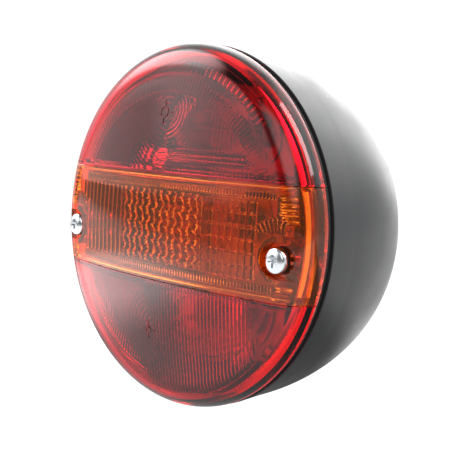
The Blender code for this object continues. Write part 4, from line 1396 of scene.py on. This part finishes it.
@dataclass
class Housing(Assembly):
    """The black bowl with its pillars, bolt bosses and grommet seat."""

    radius: float = 70.0 * MM
    depth: float = 65.0 * MM
    wall: float = 2.6 * MM
    rim_bore: float = 66.8 * MM
    back_wall: float = 3.0 * MM
    knee: float = 53.7 * MM
    taper: float = 0.7 * MM
    flat: float = 40.5 * MM
    # Each boss: radius and height. Each hole: radius, back and front.
    lens_pillar: Point = (5.0 * MM, 61.5 * MM)
    lens_hole: Place = (2.8 * MM, 45.9 * MM, 66 * MM)
    chassis_pillar: Point = (3.5 * MM, 31.7 * MM)
    chassis_hole: Place = (1.6 * MM, 20 * MM, 40 * MM)
    bolt_boss: Point = (8.5 * MM, 7.8 * MM)
    bolt_hole: Place = (3.35 * MM, -5 * MM, 12 * MM)
    bolt_pocket: Place = (5.3 * MM, 3.3 * MM, 12 * MM)
    cable_boss: Point = (12.5 * MM, 6.5 * MM)
    cable_hole: Place = (7.0 * MM, -5 * MM, 12 * MM)
    cable_seat: Place = (10.3 * MM, -5 * MM, 3.0 * MM)

    def side(self, inset: float, back: float) -> list[Point]:
        """Draw the side from the rim to the flat back.

        Args:
            inset: How far the points lie inside the outer surface.
            back: Where the flat back lies, forward.

        Returns:
            (radius, forward) points.
        """
        waist = self.radius - self.taper - inset
        turn = waist - (self.flat - inset * 0.6)
        bowl = arc((waist - turn, self.knee), turn, 0, -90, 36, self.knee - back)
        return [(self.radius - inset, self.depth)] + bowl

    def bowl(self) -> bpy.types.Mesh:
        """Turn the bowl, with soft edges at its rim.

        Returns:
            A closed mesh.
        """
        outer = self.side(0, 0)
        inner = self.side(self.wall, self.back_wall)
        soft = 0.35 * MM
        rim = eased([inner[1], (self.rim_bore, self.depth, soft), (self.radius, self.depth, soft), outer[1]])
        profile = [(0.0, self.back_wall)] + inner[:0:-1] + rim[1:-1] + outer[1:] + [(0.0, 0.0)]
        return lathe(profile, FINE_ROUND)

    def bosses(self) -> Iterator[bpy.types.Mesh]:
        """Make the pillars and bosses, which start inside the back wall.

        Yields:
            Each of them.
        """
        for side in SIDES.values():
            yield rod((side * LENS_SCREW[0], LENS_SCREW[1]), self.lens_pillar[0], 0, self.lens_pillar[1])
            for level in LEVELS.values():
                place = (side * CHASSIS_SCREW[0], level * CHASSIS_SCREW[1])
                yield rod(place, self.chassis_pillar[0], 0, self.chassis_pillar[1])
            yield rod((side * FIXING_BOLT[0], FIXING_BOLT[1]), self.bolt_boss[0], 0, self.bolt_boss[1])
        yield rod(CABLE, self.cable_boss[0], 0, self.cable_boss[1])

    def holes(self) -> Iterator[bpy.types.Mesh]:
        """Make the cutters for the screw holes, the bolts' pockets and the grommet's seat.

        Yields:
            Each of them.
        """
        for side in SIDES.values():
            yield rod((side * LENS_SCREW[0], LENS_SCREW[1]), *self.lens_hole, SMALL_ROUND)
            for level in LEVELS.values():
                place = (side * CHASSIS_SCREW[0], level * CHASSIS_SCREW[1])
                yield rod(place, *self.chassis_hole, SMALL_ROUND)
            bolt = (side * FIXING_BOLT[0], FIXING_BOLT[1])
            yield rod(bolt, *self.bolt_hole, SMALL_ROUND)
            flats, back, front = self.bolt_pocket
            yield rod(bolt, flats / math.cos(math.pi / 6), back, front, 6)
        yield rod(CABLE, *self.cable_hole)
        yield rod(CABLE, *self.cable_seat)

    def build(self) -> None:
        """Make the housing."""
        middle = self.back_wall / 2
        inside = self.side(self.wall / 2, middle)
        limit = lathe([(0, self.depth)] + inside + [(0, middle)], FINE_ROUND)
        steps = [(Join.ADD, combined(boss, [(Join.KEEP, limit.copy())])) for boss in self.bosses()]
        steps += [(Join.CUT, hole) for hole in self.holes()]
        self.place("housing", combined(self.bowl(), steps), BLACK_POLYPROPYLENE)


@dataclass
class Gasket(Assembly):
    """The rubber ring that the lens edge presses against the housing rim."""

    width: float = 2.0 * MM

    def build(self) -> None:
        """Make the gasket."""
        box = CadBox.of("lens_gasket")
        soft, hard = 0.5 * MM, 0.2 * MM
        inner = box.radius - self.width
        corners = [
            (inner, box.front, hard),
            (box.radius, box.front, soft),
            (box.radius, box.back, soft),
            (inner, box.back, hard),
        ]
        mesh = lathe(eased(corners, closed=True), FINE_ROUND, ring=True)
        self.place("lens_gasket", mesh, BLACK_EPDM)


@dataclass
class PanHeadScrew(Assembly):
    """A cross-recessed pan head screw with a rolled thread."""

    name: str
    radius: float
    length: float
    head_height: float
    pitch: float
    thread_share: float = 0.8
    run_out: Point = (2.4 * MM, 0.6 * MM)

    def head(self, box: CadBox) -> bpy.types.Mesh:
        """Turn the head, core and point as one shape, and cut the cross in.

        Args:
            box: Where the screw lies.

        Returns:
            A closed mesh.
        """
        h, r = self.head_height, box.radius
        seat = box.back + self.length
        core = self.radius * 0.86
        plain = seat - self.length * (1 - self.thread_share)
        corners = [
            (0.0, seat + h),
            (r * 0.5, seat + h * 0.96, 0.4 * MM),
            (r * 0.9, seat + h * 0.7, 0.5 * MM),
            (r, seat + h * 0.3, 0.4 * MM),
            (r, seat, 0.2 * MM),
            (self.radius, seat),
            (self.radius, plain),
            (core, plain - 0.3 * MM),
            (core, box.back + 2.0 * MM),
            (self.radius * 0.3, box.back),
            (0.0, box.back),
        ]
        body = lathe(eased(corners), ROUND, box.centre)
        return combined(body, [(Join.CUT, self.cross(box))])

    def cross(self, box: CadBox) -> bpy.types.Mesh:
        """Make the cutter for the cross: two bars, trimmed by a taper.

        Args:
            box: Where the screw lies.

        Returns:
            A closed mesh.
        """
        x, y = box.centre
        h, top = self.head_height, box.back + self.length + self.head_height
        arm, blade = box.radius * 0.56, box.radius * 0.13
        level = block((x - arm, y - blade, top - 0.8 * h), (x + arm, y + blade, top + h))
        upright = block((x - blade, y - arm, top - 0.81 * h), (x + blade, y + arm, top + 1.1 * h))
        taper = [
            (0.0, top + 0.5 * h),
            (arm * 1.25, top + 0.5 * h),
            (arm * 0.42, top - 0.75 * h),
            (0.0, top - 0.79 * h),
        ]
        cone = lathe(taper, SMALL_ROUND, box.centre)
        return combined(level, [(Join.ADD, upright), (Join.KEEP, cone)])

    def build(self) -> None:
        """Make the screw."""
        box = CadBox.of(self.name)
        span = (box.back + self.run_out[0], box.back + self.length * self.thread_share - self.run_out[1])
        ridge = thread(BRIGHT_ZINC, box.centre, self.radius, self.radius * 0.14, span, self.pitch)
        self.place(self.name, merged(self.head(box), ridge), BRIGHT_ZINC, 32)


@dataclass
class Washer(Assembly):
    """A flat ring with soft edges."""

    name: str
    bore: float
    finish: Finish
    soft: float = 0.15 * MM

    def build(self) -> None:
        """Make the washer."""
        box = CadBox.of(self.name)
        corners = [
            (self.bore, box.front, self.soft),
            (box.radius, box.front, self.soft),
            (box.radius, box.back, self.soft),
            (self.bore, box.back, self.soft),
        ]
        mesh = lathe(eased(corners, closed=True, steps=3), ROUND, box.centre, ring=True)
        self.place(self.name, mesh, self.finish)


@dataclass
class Bulb(Assembly):
    """A bayonet bulb: blown glass, cap with two pins, black glass base, contact and coiled filament."""

    chamber: Chamber
    glass: Finish
    globe: float
    cap: float = 7.5 * MM
    cap_wall: float = 0.7 * MM
    cap_lip: float = 1.5 * MM
    pin_rise: float = 6.0 * MM
    pin: float = 1.0 * MM
    pin_length: float = 2.2 * MM
    neck: float = 6.2 * MM
    glass_wall: float = 0.7 * MM
    stem: float = 1.2 * MM
    wire: float = 0.22 * MM
    turns: int = 9

    def named(self, piece: str) -> str:
        """The name of one of the bulb's pieces."""
        return f"{self.chamber.value}_bulb_{piece}"

    def envelope(self, box: CadBox, inset: float) -> list[Point]:
        """Draw the glass from its top down into the cap.

        Args:
            box: Where the glass lies.
            inset: How far the points lie inside its outer surface.

        Returns:
            (radius, forward) points.
        """
        middle = box.front - self.globe
        radius, neck = self.globe - inset, self.neck - inset
        angle = -math.degrees(math.acos(min(1.0, (neck + 1.6 * MM) / radius)))
        globe = arc((0.0, middle), radius, 90, angle, 26)
        bend = (neck, globe[-1][1] - 4.0 * MM, 3.5 * MM)
        tail = eased([globe[-1], bend, (neck, self.pin_plane + 1.0 * MM + inset)], steps=8)
        return [(0.0, box.front - inset)] + globe[1:] + tail[1:]

    @property
    def pin_plane(self) -> float:
        """Where the two pins stand, forward."""
        return CadBox.of(self.named("cap")).back + self.pin_rise

    def build(self) -> None:
        """Make the five pieces of the bulb."""
        name = self.named("glass")
        box = CadBox.of(name)
        outline = self.envelope(box, 0) + self.envelope(box, self.glass_wall)[::-1]
        self.place(name, lathe(outline, ROUND, self.chamber.axis), self.glass, 60)
        self.shell()
        self.base()
        self.contact()
        self.filament()

    def shell(self) -> None:
        """Make the brass cap with its two pins."""
        name = self.named("cap")
        box = CadBox.of(name)
        wall, lip, hard, soft = self.cap_wall, self.cap - self.cap_lip, 0.1 * MM, 0.3 * MM
        corners = [
            (self.cap - wall, box.front, hard),
            (self.cap, box.front, 0.2 * MM),
            (self.cap, box.back, 2 * soft),
            (lip, box.back, hard),
            (lip, box.back + wall, hard),
            (self.cap - wall, box.back + wall, soft),
        ]
        shell = lathe(eased(corners, closed=True), ROUND, self.chamber.axis, ring=True)
        corners = [(0, 0), (self.pin, 0, 0.25 * MM), (self.pin, -self.pin_length), (0, -self.pin_length)]
        outline = eased(corners)
        pins = []
        for side in SIDES.values():
            pin = lathe(outline, SMALL_ROUND)
            pin.transform(Matrix.Rotation(side * math.pi / 2, 4, "Y"))
            pin.transform(Matrix.Translation((side * box.radius, self.chamber.axis[1], self.pin_plane)))
            pins.append((Join.ADD, pin))
        self.place(name, combined(shell, pins), NICKEL_BRASS)

    def base(self) -> None:
        """Make the black glass base, with a hole for the contact's stem."""
        name = self.named("insulator")
        box = CadBox.of(name)
        gap = 0.3 * MM
        hole, nose = self.stem + gap, box.back + 1.2 * MM
        corners = [
            (hole, box.front),
            (box.radius, box.front, 0.2 * MM),
            (box.radius, nose, 0.2 * MM),
            (self.cap - self.cap_lip - gap, nose),
            (3.4 * MM, box.back, 0.6 * MM),
            (hole, box.back),
        ]
        mesh = lathe(eased(corners, closed=True), ROUND, self.chamber.axis, ring=True)
        self.place(name, mesh, BLACK_VITRITE)

    def contact(self) -> None:
        """Make the solder contact in the middle of the base."""
        name = self.named("contact")
        box = CadBox.of(name)
        bead = box.back + 0.6 * MM
        corners = [
            (0.0, box.front),
            (self.stem, box.front, 0.1 * MM),
            (self.stem, bead),
            (box.radius, bead, 0.2 * MM),
            (box.radius * 0.7, box.back + 0.05 * MM, 0.6 * MM),
            (0.0, box.back),
        ]
        self.place(name, lathe(eased(corners), SMALL_ROUND, self.chamber.axis), TIN_SOLDER)

    def filament(self) -> None:
        """Make the coiled wire and its two leads."""
        name = self.named("filament")
        box = CadBox.of(name)
        up = self.chamber.axis[1]
        span = 2 * (box.radius - self.wire)
        radius = (box.top - box.bottom) / 2 - self.wire
        plane = box.front - radius - self.wire
        coil = HelixTree(TUNGSTEN, 8).wind(self.turns, radius, span, self.wire, 16)
        coil.transform(Matrix.Rotation(math.pi / 2, 4, "Y"))
        coil.transform(Matrix.Translation((-span / 2, up, plane)))
        ends = [(side * span / 2, up) for side in SIDES.values()]
        leads = [rod(end, self.wire * 1.3, box.back, plane + radius, 12) for end in ends]
        self.place(name, merged(coil, *leads), TUNGSTEN)


@dataclass
class ContactSpring(Assembly):
    """The spring behind one bulb's plunger. The real one is pressed flat as the bulb goes in; this one keeps
    its rest length.
    """

    chamber: Chamber
    radius: float = 3.9 * MM
    wire: float = 0.4 * MM
    turns: float = 3.0

    def build(self) -> None:
        """Make the spring."""
        name = f"{self.chamber.value}_contact_spring"
        box = CadBox.of(name)
        rise = box.length - 2 * self.wire
        mesh = HelixTree(SPRING_STEEL, 10).wind(self.turns, self.radius, rise, self.wire, 32)
        mesh.transform(Matrix.Translation((*self.chamber.axis, box.back + self.wire)))
        piece = self.place(name, mesh, SPRING_STEEL)
        anchor = (0.0, -box.back, self.chamber.axis[1])
        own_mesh(piece)


@dataclass
class Plunger(Assembly):
    """The brass plunger that carries the current to the bulb."""

    chamber: Chamber
    stem: float = 1.6 * MM
    plate: float = 1.5 * MM

    def build(self) -> None:
        """Make the plunger."""
        name = f"{self.chamber.value}_contact_plunger"
        box = CadBox.of(name)
        seat = box.front - self.plate
        corners = [
            (0.0, box.front),
            (box.radius, box.front, 0.3 * MM),
            (box.radius, seat, 0.2 * MM),
            (self.stem, seat, 0.3 * MM),
            (self.stem, box.back, 0.5 * MM),
            (0.0, box.back),
        ]
        self.place(name, lathe(eased(corners), ROUND, self.chamber.axis), BRASS)


@dataclass
class FixingBolt(Assembly):
    """A hexagon bolt through the back, with its nut."""

    side: str
    pitch: float = 1.0 * MM
    radius: float = 2.95 * MM
    flats: float = 10.0 * MM
    head_height: float = 4.0 * MM
    chamfer: float = 0.5 * MM

    def hexagon(self, centre: Point, low: float, high: float, both: bool) -> bpy.types.Mesh:
        """Make a hexagon block with its corners chamfered by turning.

        Args:
            centre: Where its axis stands, across and up.
            low: Where it starts, forward.
            high: Where it ends.
            both: Whether both ends are chamfered.

        Returns:
            A closed mesh.
        """
        corner = self.flats / 2 / math.cos(math.pi / 6)
        flat, wide = self.flats / 2 * 0.96, corner * 1.02
        top = [(0.0, high), (flat, high), (wide, high - self.chamfer)]
        end = [(wide, low + self.chamfer), (flat, low)] if both else [(wide, low)]
        limit = lathe(top + end + [(0.0, low)], ROUND, centre)
        return combined(rod(centre, corner, low, high, 6), [(Join.KEEP, limit)])

    def build(self) -> None:
        """Make the bolt and its nut."""
        self.bolt(f"fixing_bolt_{self.side}")
        self.nut(f"fixing_nut_{self.side}")

    def bolt(self, name: str) -> None:
        """Make the bolt: head, shank and thread.

        Args:
            name: The bolt's name.
        """
        box = CadBox.of(name)
        core = self.radius * 0.87
        seat = box.front - self.head_height
        joined, plain = seat + 0.4 * MM, -1.5 * MM
        corners = [
            (0.0, joined),
            (self.radius, joined),
            (self.radius, plain),
            (core, plain - 0.3 * MM),
            (core, box.back + 0.8 * MM),
            (core * 0.8, box.back),
            (0.0, box.back),
        ]
        head = self.hexagon(box.centre, seat, box.front, False)
        body = combined(head, [(Join.ADD, lathe(corners, SMALL_ROUND, box.centre))])
        span = (box.back + 1.0 * MM, plain - 0.7 * MM)
        ridge = thread(ZINC_PLATE, box.centre, self.radius, self.radius * 0.13, span, self.pitch)
        self.place(name, merged(body, ridge), ZINC_PLATE)

    def nut(self, name: str) -> None:
        """Make the nut.

        Args:
            name: The nut's name.
        """
        box = CadBox.of(name)
        bore = rod(box.centre, self.radius + 0.1 * MM, box.back - PAST, box.front + PAST, SMALL_ROUND)
        nut = combined(self.hexagon(box.centre, box.back, box.front, True), [(Join.CUT, bore)])
        self.place(name, nut, ZINC_PLATE)


@dataclass
class Grommet(Assembly):
    """The rubber grommet that the cable would run through."""

    bore: float = 3.25 * MM
    barb: float = 8.4 * MM
    groove: float = 6.7 * MM
    groove_span: Point = (2.7 * MM, 6.8 * MM)

    def build(self) -> None:
        """Make the grommet."""
        name = "cable_grommet"
        box = CadBox.of(name)
        back, front = self.groove_span
        corners = [
            (self.bore, box.front, 0.2 * MM),
            (self.barb - 1.0 * MM, box.front, 0.4 * MM),
            (self.barb, box.front - 1.0 * MM, 0.3 * MM),
            (self.barb, front, 0.3 * MM),
            (self.groove, front),
            (self.groove, back),
            (box.radius, back, 0.3 * MM),
            (box.radius, box.back, 0.5 * MM),
            (self.bore, box.back, 0.4 * MM),
        ]
        mesh = lathe(eased(corners, closed=True), ROUND, box.centre, ring=True)
        self.place(name, mesh, BLACK_EPDM)


@dataclass
class CarriedOver:
    """The CAD pieces that keep their own shape and only get a real finish."""

    finishes: dict[str, Finish]

    def build(self) -> None:
        """Dress each one that is still shown."""
        for name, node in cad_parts.items():
            if node.hide_render:
                continue
            finish = next(f for word, f in self.finishes.items() if word in name)
            for slot in node.material_slots:
                slot.material = SHELF.take(finish)
            log.info("%s: kept, %s", name, finish.name)


# ---------------------------------------------------------------- studio


@dataclass(frozen=True)
class SoftBox:
    """A rectangular studio light aimed at a point."""

    name: str
    at: Place
    aim: Place
    width: float
    height: float
    watts: float

    def build(self) -> None:
        """Hang the light."""
        data = bpy.data.lights.new(self.name, "AREA")
        data.shape = "RECTANGLE"
        data.size, data.size_y = self.width, self.height
        data.energy = self.watts
        light = bpy.data.objects.new(self.name, data)
        light.location = self.at
        light.rotation_euler = (Vector(self.aim) - Vector(self.at)).to_track_quat("-Z", "Y").to_euler()
        bpy.context.scene.collection.objects.link(light)


@dataclass(frozen=True)
class Studio:
    """Camera, plain floor, bright surroundings behind the lamp and soft lights round it."""

    azimuth: float = 0.79054
    elevation: float = 0.09638
    roll: float = 0.05642
    distance: float = 364.97 * MM
    target: Place = (0.0, -45 * MM, 0.0)
    lens: float = 71.44
    shift: Point = (-0.011, -0.005)
    floor: float = -70.6 * MM
    floor_level: float = 1.25
    # Painted light in the floor's glow: a painted shadow under the lamp, a painted pool of light on the left
    # and a painted fall-off far in front.
    painted_shadow_depth: float = 1.0
    painted_light_pool: tuple[Point, Point, float] = ((-0.20, -0.17), (0.16, 0.05), 2.5)
    painted_shadow: Point = (0.02, 0.08)
    painted_fall_off_span: Point = (-0.55, -0.30)
    painted_fall_off_level: float = 0.3
    seen_level: float = 1.15
    front: float = 0.14
    rear: float = 1.0
    dawn: Point = (-0.5, 0.45)
    glows: tuple[tuple[Place, Point, float], ...] = (
        ((-0.88, -0.38, 0.27), (34.0, 5.0), 1.1),
        ((-0.55, -0.78, 0.30), (24.0, 5.0), 1.4),
        ((-0.74, -0.28, 0.61), (28.0, 10.0), 5.0),
        ((-0.30, 0.82, 0.50), (38.0, 12.0), 3.0),
        ((0.45, 0.55, 0.70), (38.0, 10.0), 1.6),
        ((0.30, -0.80, 0.52), (28.0, 8.0), 1.9),
    )

    def camera(self) -> None:
        """Stand the camera where the lamp is seen from."""
        a, e = self.azimuth, self.elevation
        back = Vector((math.sin(a) * math.cos(e), -math.cos(a) * math.cos(e), math.sin(e)))
        level = Vector((math.cos(a), math.sin(a), 0.0))
        upright = back.cross(level)
        c, s = math.cos(self.roll), math.sin(self.roll)
        right, up = level * c + upright * s, upright * c - level * s
        data = bpy.data.cameras.new("camera")
        data.lens = self.lens
        data.sensor_width = 36.0
        data.shift_x, data.shift_y = self.shift
        data.clip_start, data.clip_end = 0.01, 20.0
        data.dof.use_dof = False
        camera = bpy.data.objects.new("camera", data)
        camera.matrix_world = Matrix((right, up, back)).transposed().to_4x4()
        camera.location = Vector(self.target) + back * self.distance
        bpy.context.scene.collection.objects.link(camera)
        bpy.context.scene.camera = camera

    def glow(
        self, tree: bpy.types.NodeTree, direction: bpy.types.Node, toward: Place, spread: Point, level: float
    ) -> bpy.types.Node:
        """Add one soft-edged bright patch to the surroundings.

        Args:
            tree: The world's tree.
            direction: The node with the direction that is looked in.
            toward: Where the middle of the patch lies.
            spread: Angles in degrees at which the patch has faded out and is at its full level.
            level: Its brightness.

        Returns:
            The node with its brightness in that direction.
        """
        inputs = {0: direction, 1: Vector(toward).normalized()}
        dot = add_node(tree, "ShaderNodeVectorMath", inputs, operation="DOT_PRODUCT")
        span = {
            "Value": dot.outputs["Value"],
            "From Min": math.cos(math.radians(spread[0])),
            "From Max": math.cos(math.radians(spread[1])),
            "To Min": 0.0,
            "To Max": level,
        }
        return add_node(tree, "ShaderNodeMapRange", span, interpolation_type="SMOOTHERSTEP")

    def surroundings(self) -> None:
        """Make a white world that is bright behind and beside the lamp and dim in front of it."""
        world = bpy.data.worlds.new("white_studio")
        bpy.context.scene.world = world
        world.use_nodes = True
        tree = world.node_tree
        tree.nodes.clear()
        looked = add_node(tree, "ShaderNodeTexCoord").outputs["Generated"]
        direction = add_node(tree, "ShaderNodeVectorMath", {0: looked}, operation="NORMALIZE")
        parts = add_node(tree, "ShaderNodeSeparateXYZ", {0: direction})
        span = {
            "Value": parts.outputs[1],
            "From Min": self.dawn[0],
            "From Max": self.dawn[1],
            "To Min": self.front,
            "To Max": self.rear,
        }
        total = add_node(tree, "ShaderNodeMapRange", span, interpolation_type="SMOOTHSTEP")
        for toward, spread, level in self.glows:
            patch = self.glow(tree, direction, toward, spread, level)
            total = add_node(tree, "ShaderNodeMath", {0: total, 1: patch}, operation="ADD")
        seen = add_node(tree, "ShaderNodeLightPath").outputs["Is Camera Ray"]
        strength = add_node(tree, "ShaderNodeMix", {0: seen, 2: total, 3: self.seen_level})
        white = {"Color": linear("#ffffff"), "Strength": strength}
        add_node(tree, "ShaderNodeOutputWorld", {0: add_node(tree, "ShaderNodeBackground", white)})

    def ground(self) -> None:
        """Lay the pale floor. Its glow carries painted light, which camera rays don't see: a painted shadow
        under the lamp, a painted pool of light on the left and a painted fall-off in front.
        """
        shape = bmesh.new()
        bmesh.ops.create_grid(shape, x_segments=1, y_segments=1, size=6.0)
        mesh = bpy.data.meshes.new("floor")
        shape.to_mesh(mesh)
        shape.free()
        material = bpy.data.materials.new("white_paper")
        material.use_nodes = True
        tree = material.node_tree
        tree.nodes.clear()
        place = add_node(tree, "ShaderNodeTexCoord").outputs["Object"]
        parts = add_node(tree, "ShaderNodeSeparateXYZ", {0: place})
        # Painted shadow: the paper glows less under the lamp, where the lamp would shade it.
        under = add_node(tree, "ShaderNodeMath", {0: parts.outputs[1], 1: 0.03}, operation="ADD")
        off = add_node(tree, "ShaderNodeMath", {0: under}, operation="ABSOLUTE")
        shade = {
            "Value": off.outputs[0],
            "From Min": self.painted_shadow[0],
            "From Max": self.painted_shadow[1],
            "To Min": self.floor_level - self.painted_shadow_depth,
            "To Max": self.floor_level,
        }
        painted_shadow = add_node(tree, "ShaderNodeMapRange", shade, interpolation_type="SMOOTHSTEP")
        # Painted pool of light: a round patch on the left glows brightest.
        middle, span, high = self.painted_light_pool
        inputs = {0: place, 1: (*middle, 0.0)}
        away = add_node(tree, "ShaderNodeVectorMath", inputs, operation="DISTANCE")
        patch = {
            "Value": away.outputs["Value"],
            "From Min": span[0],
            "From Max": span[1],
            "To Min": 0.0,
            "To Max": high,
        }
        lit = add_node(tree, "ShaderNodeMapRange", patch, interpolation_type="SMOOTHSTEP")
        # Painted fall-off of light: far in front of the lamp the glow dims, as if the room were dark there.
        fall = {
            "Value": parts.outputs[1],
            "From Min": self.painted_fall_off_span[0],
            "From Max": self.painted_fall_off_span[1],
            "To Min": self.painted_fall_off_level,
            "To Max": 1.0,
        }
        near = add_node(tree, "ShaderNodeMapRange", fall, interpolation_type="SMOOTHSTEP")
        dimmed = add_node(tree, "ShaderNodeMath", {0: painted_shadow, 1: near}, operation="MULTIPLY")
        total = add_node(tree, "ShaderNodeMath", {0: dimmed, 1: lit}, operation="ADD")
        seen = add_node(tree, "ShaderNodeLightPath").outputs["Is Camera Ray"]
        level = add_node(tree, "ShaderNodeMix", {0: seen, 2: total, 3: self.seen_level})
        glow = add_node(tree, "ShaderNodeEmission", {"Color": linear("#ffffff"), "Strength": level})
        add_node(tree, "ShaderNodeOutputMaterial", {0: glow})
        mesh.materials.append(material)
        floor = bpy.data.objects.new("floor", mesh)
        floor.location = (0, 0, self.floor)
        bpy.context.scene.collection.objects.link(floor)

    def lights(self) -> None:
        """Hang the soft box."""
        place, lamp = (0.50, 0.04, 0.62), (0.0, -0.05, 0.0)
        SoftBox("right_overhead", place, lamp, width=0.18, height=0.60, watts=2.6).build()

    def build(self) -> None:
        """Set the whole studio up."""
        self.camera()
        self.surroundings()
        self.ground()
        self.lights()
        scene = bpy.context.scene
        scene.view_settings.view_transform = "Standard"
        scene.cycles.use_denoising = True
        scene.cycles.max_bounces = 24
        scene.cycles.transmission_bounces = 20
        scene.cycles.glossy_bounces = 8


# ---------------------------------------------------------------- the lamp


class TrailerLamp:
    """Every sub-assembly of the lamp."""

    def __init__(self) -> None:
        """List the sub-assemblies with the bodies they ride on."""
        shape = LensShape()
        half, gap, reach = 19.85 * MM, 0.3 * MM, 75 * MM
        above = {"optic_up": 43 * MM, "swath": 6.5, "mark_at": (0.0, 43 * MM)}
        below = {"optic_up": -40 * MM, "steep": 4.5, "mark_at": (-3 * MM, -40 * MM), "mark_radius": 1.2 * MM}
        self.parts: list[Assembly] = [
            Housing("root"),
            Gasket("root"),
            RedBand("lens", "lens_red_upper", RED_ACRYLIC, half + gap, reach, shape, **above),
            AmberBand("lens", "lens_amber", AMBER_ACRYLIC, -half, half, shape),
            RedBand("lens", "lens_red_lower", RED_ACRYLIC, -reach, -half - gap, shape, **below),
            Grommet("root"),
        ]
        self.parts += list(self.fasteners())
        self.parts += list(self.bulbs())

    def fasteners(self) -> Iterator[Assembly]:
        """List the lens screws, chassis screws and fixing bolts, with their washers.

        Yields:
            Each of them.
        """
        long = {"radius": 2.4 * MM, "length": 31.0 * MM, "head_height": 2.7 * MM, "pitch": 1.5 * MM}
        short = {"radius": 1.3 * MM, "length": 11.0 * MM, "head_height": 1.9 * MM, "pitch": 1.0 * MM}
        for side in SIDES:
            yield PanHeadScrew(f"{side}_screw", f"lens_screw_{side}", **long)
            yield Washer(f"{side}_washer", f"screw_washer_{side}", 2.8 * MM, BLACK_EPDM)
            for level in LEVELS:
                yield PanHeadScrew("root", f"chassis_screw_{level}_{side}", **short)
            yield FixingBolt("root", side)
            yield Washer("root", f"fixing_washer_{side}", 3.35 * MM, ZINC_PLATE)

    def bulbs(self) -> Iterator[Assembly]:
        """List the three bulbs and the contacts behind them.

        Yields:
            Each bulb, spring and plunger.
        """
        globes = {
            Chamber.STOP: (BULB_GLASS, 13.2 * MM),
            Chamber.INDICATOR: (AMBER_BULB_GLASS, 13.2 * MM),
            Chamber.TAIL: (BULB_GLASS, 9.5 * MM),
        }
        for chamber, (glass, globe) in globes.items():
            yield Bulb(f"{chamber.value}_bulb", chamber, glass, globe)
            yield ContactSpring("root", chamber)
            yield Plunger(f"{chamber.value}_plunger", chamber)

    def build(self) -> None:
        """Make every piece, and dress the ones that keep their CAD shape."""
        for part in self.parts:
            part.build()
        CarriedOver({"base_disc": PAPER_BOARD, "rivet": BRASS, "terminal": BRASS, "": ZINC_SHEET}).build()


def main() -> None:
    """Build the lamp and its studio."""
    logging.basicConfig(level=logging.INFO, format="%(name)s: %(message)s")
    TrailerLamp().build()
    Studio().build()


if __name__ == "__main__":
    main()
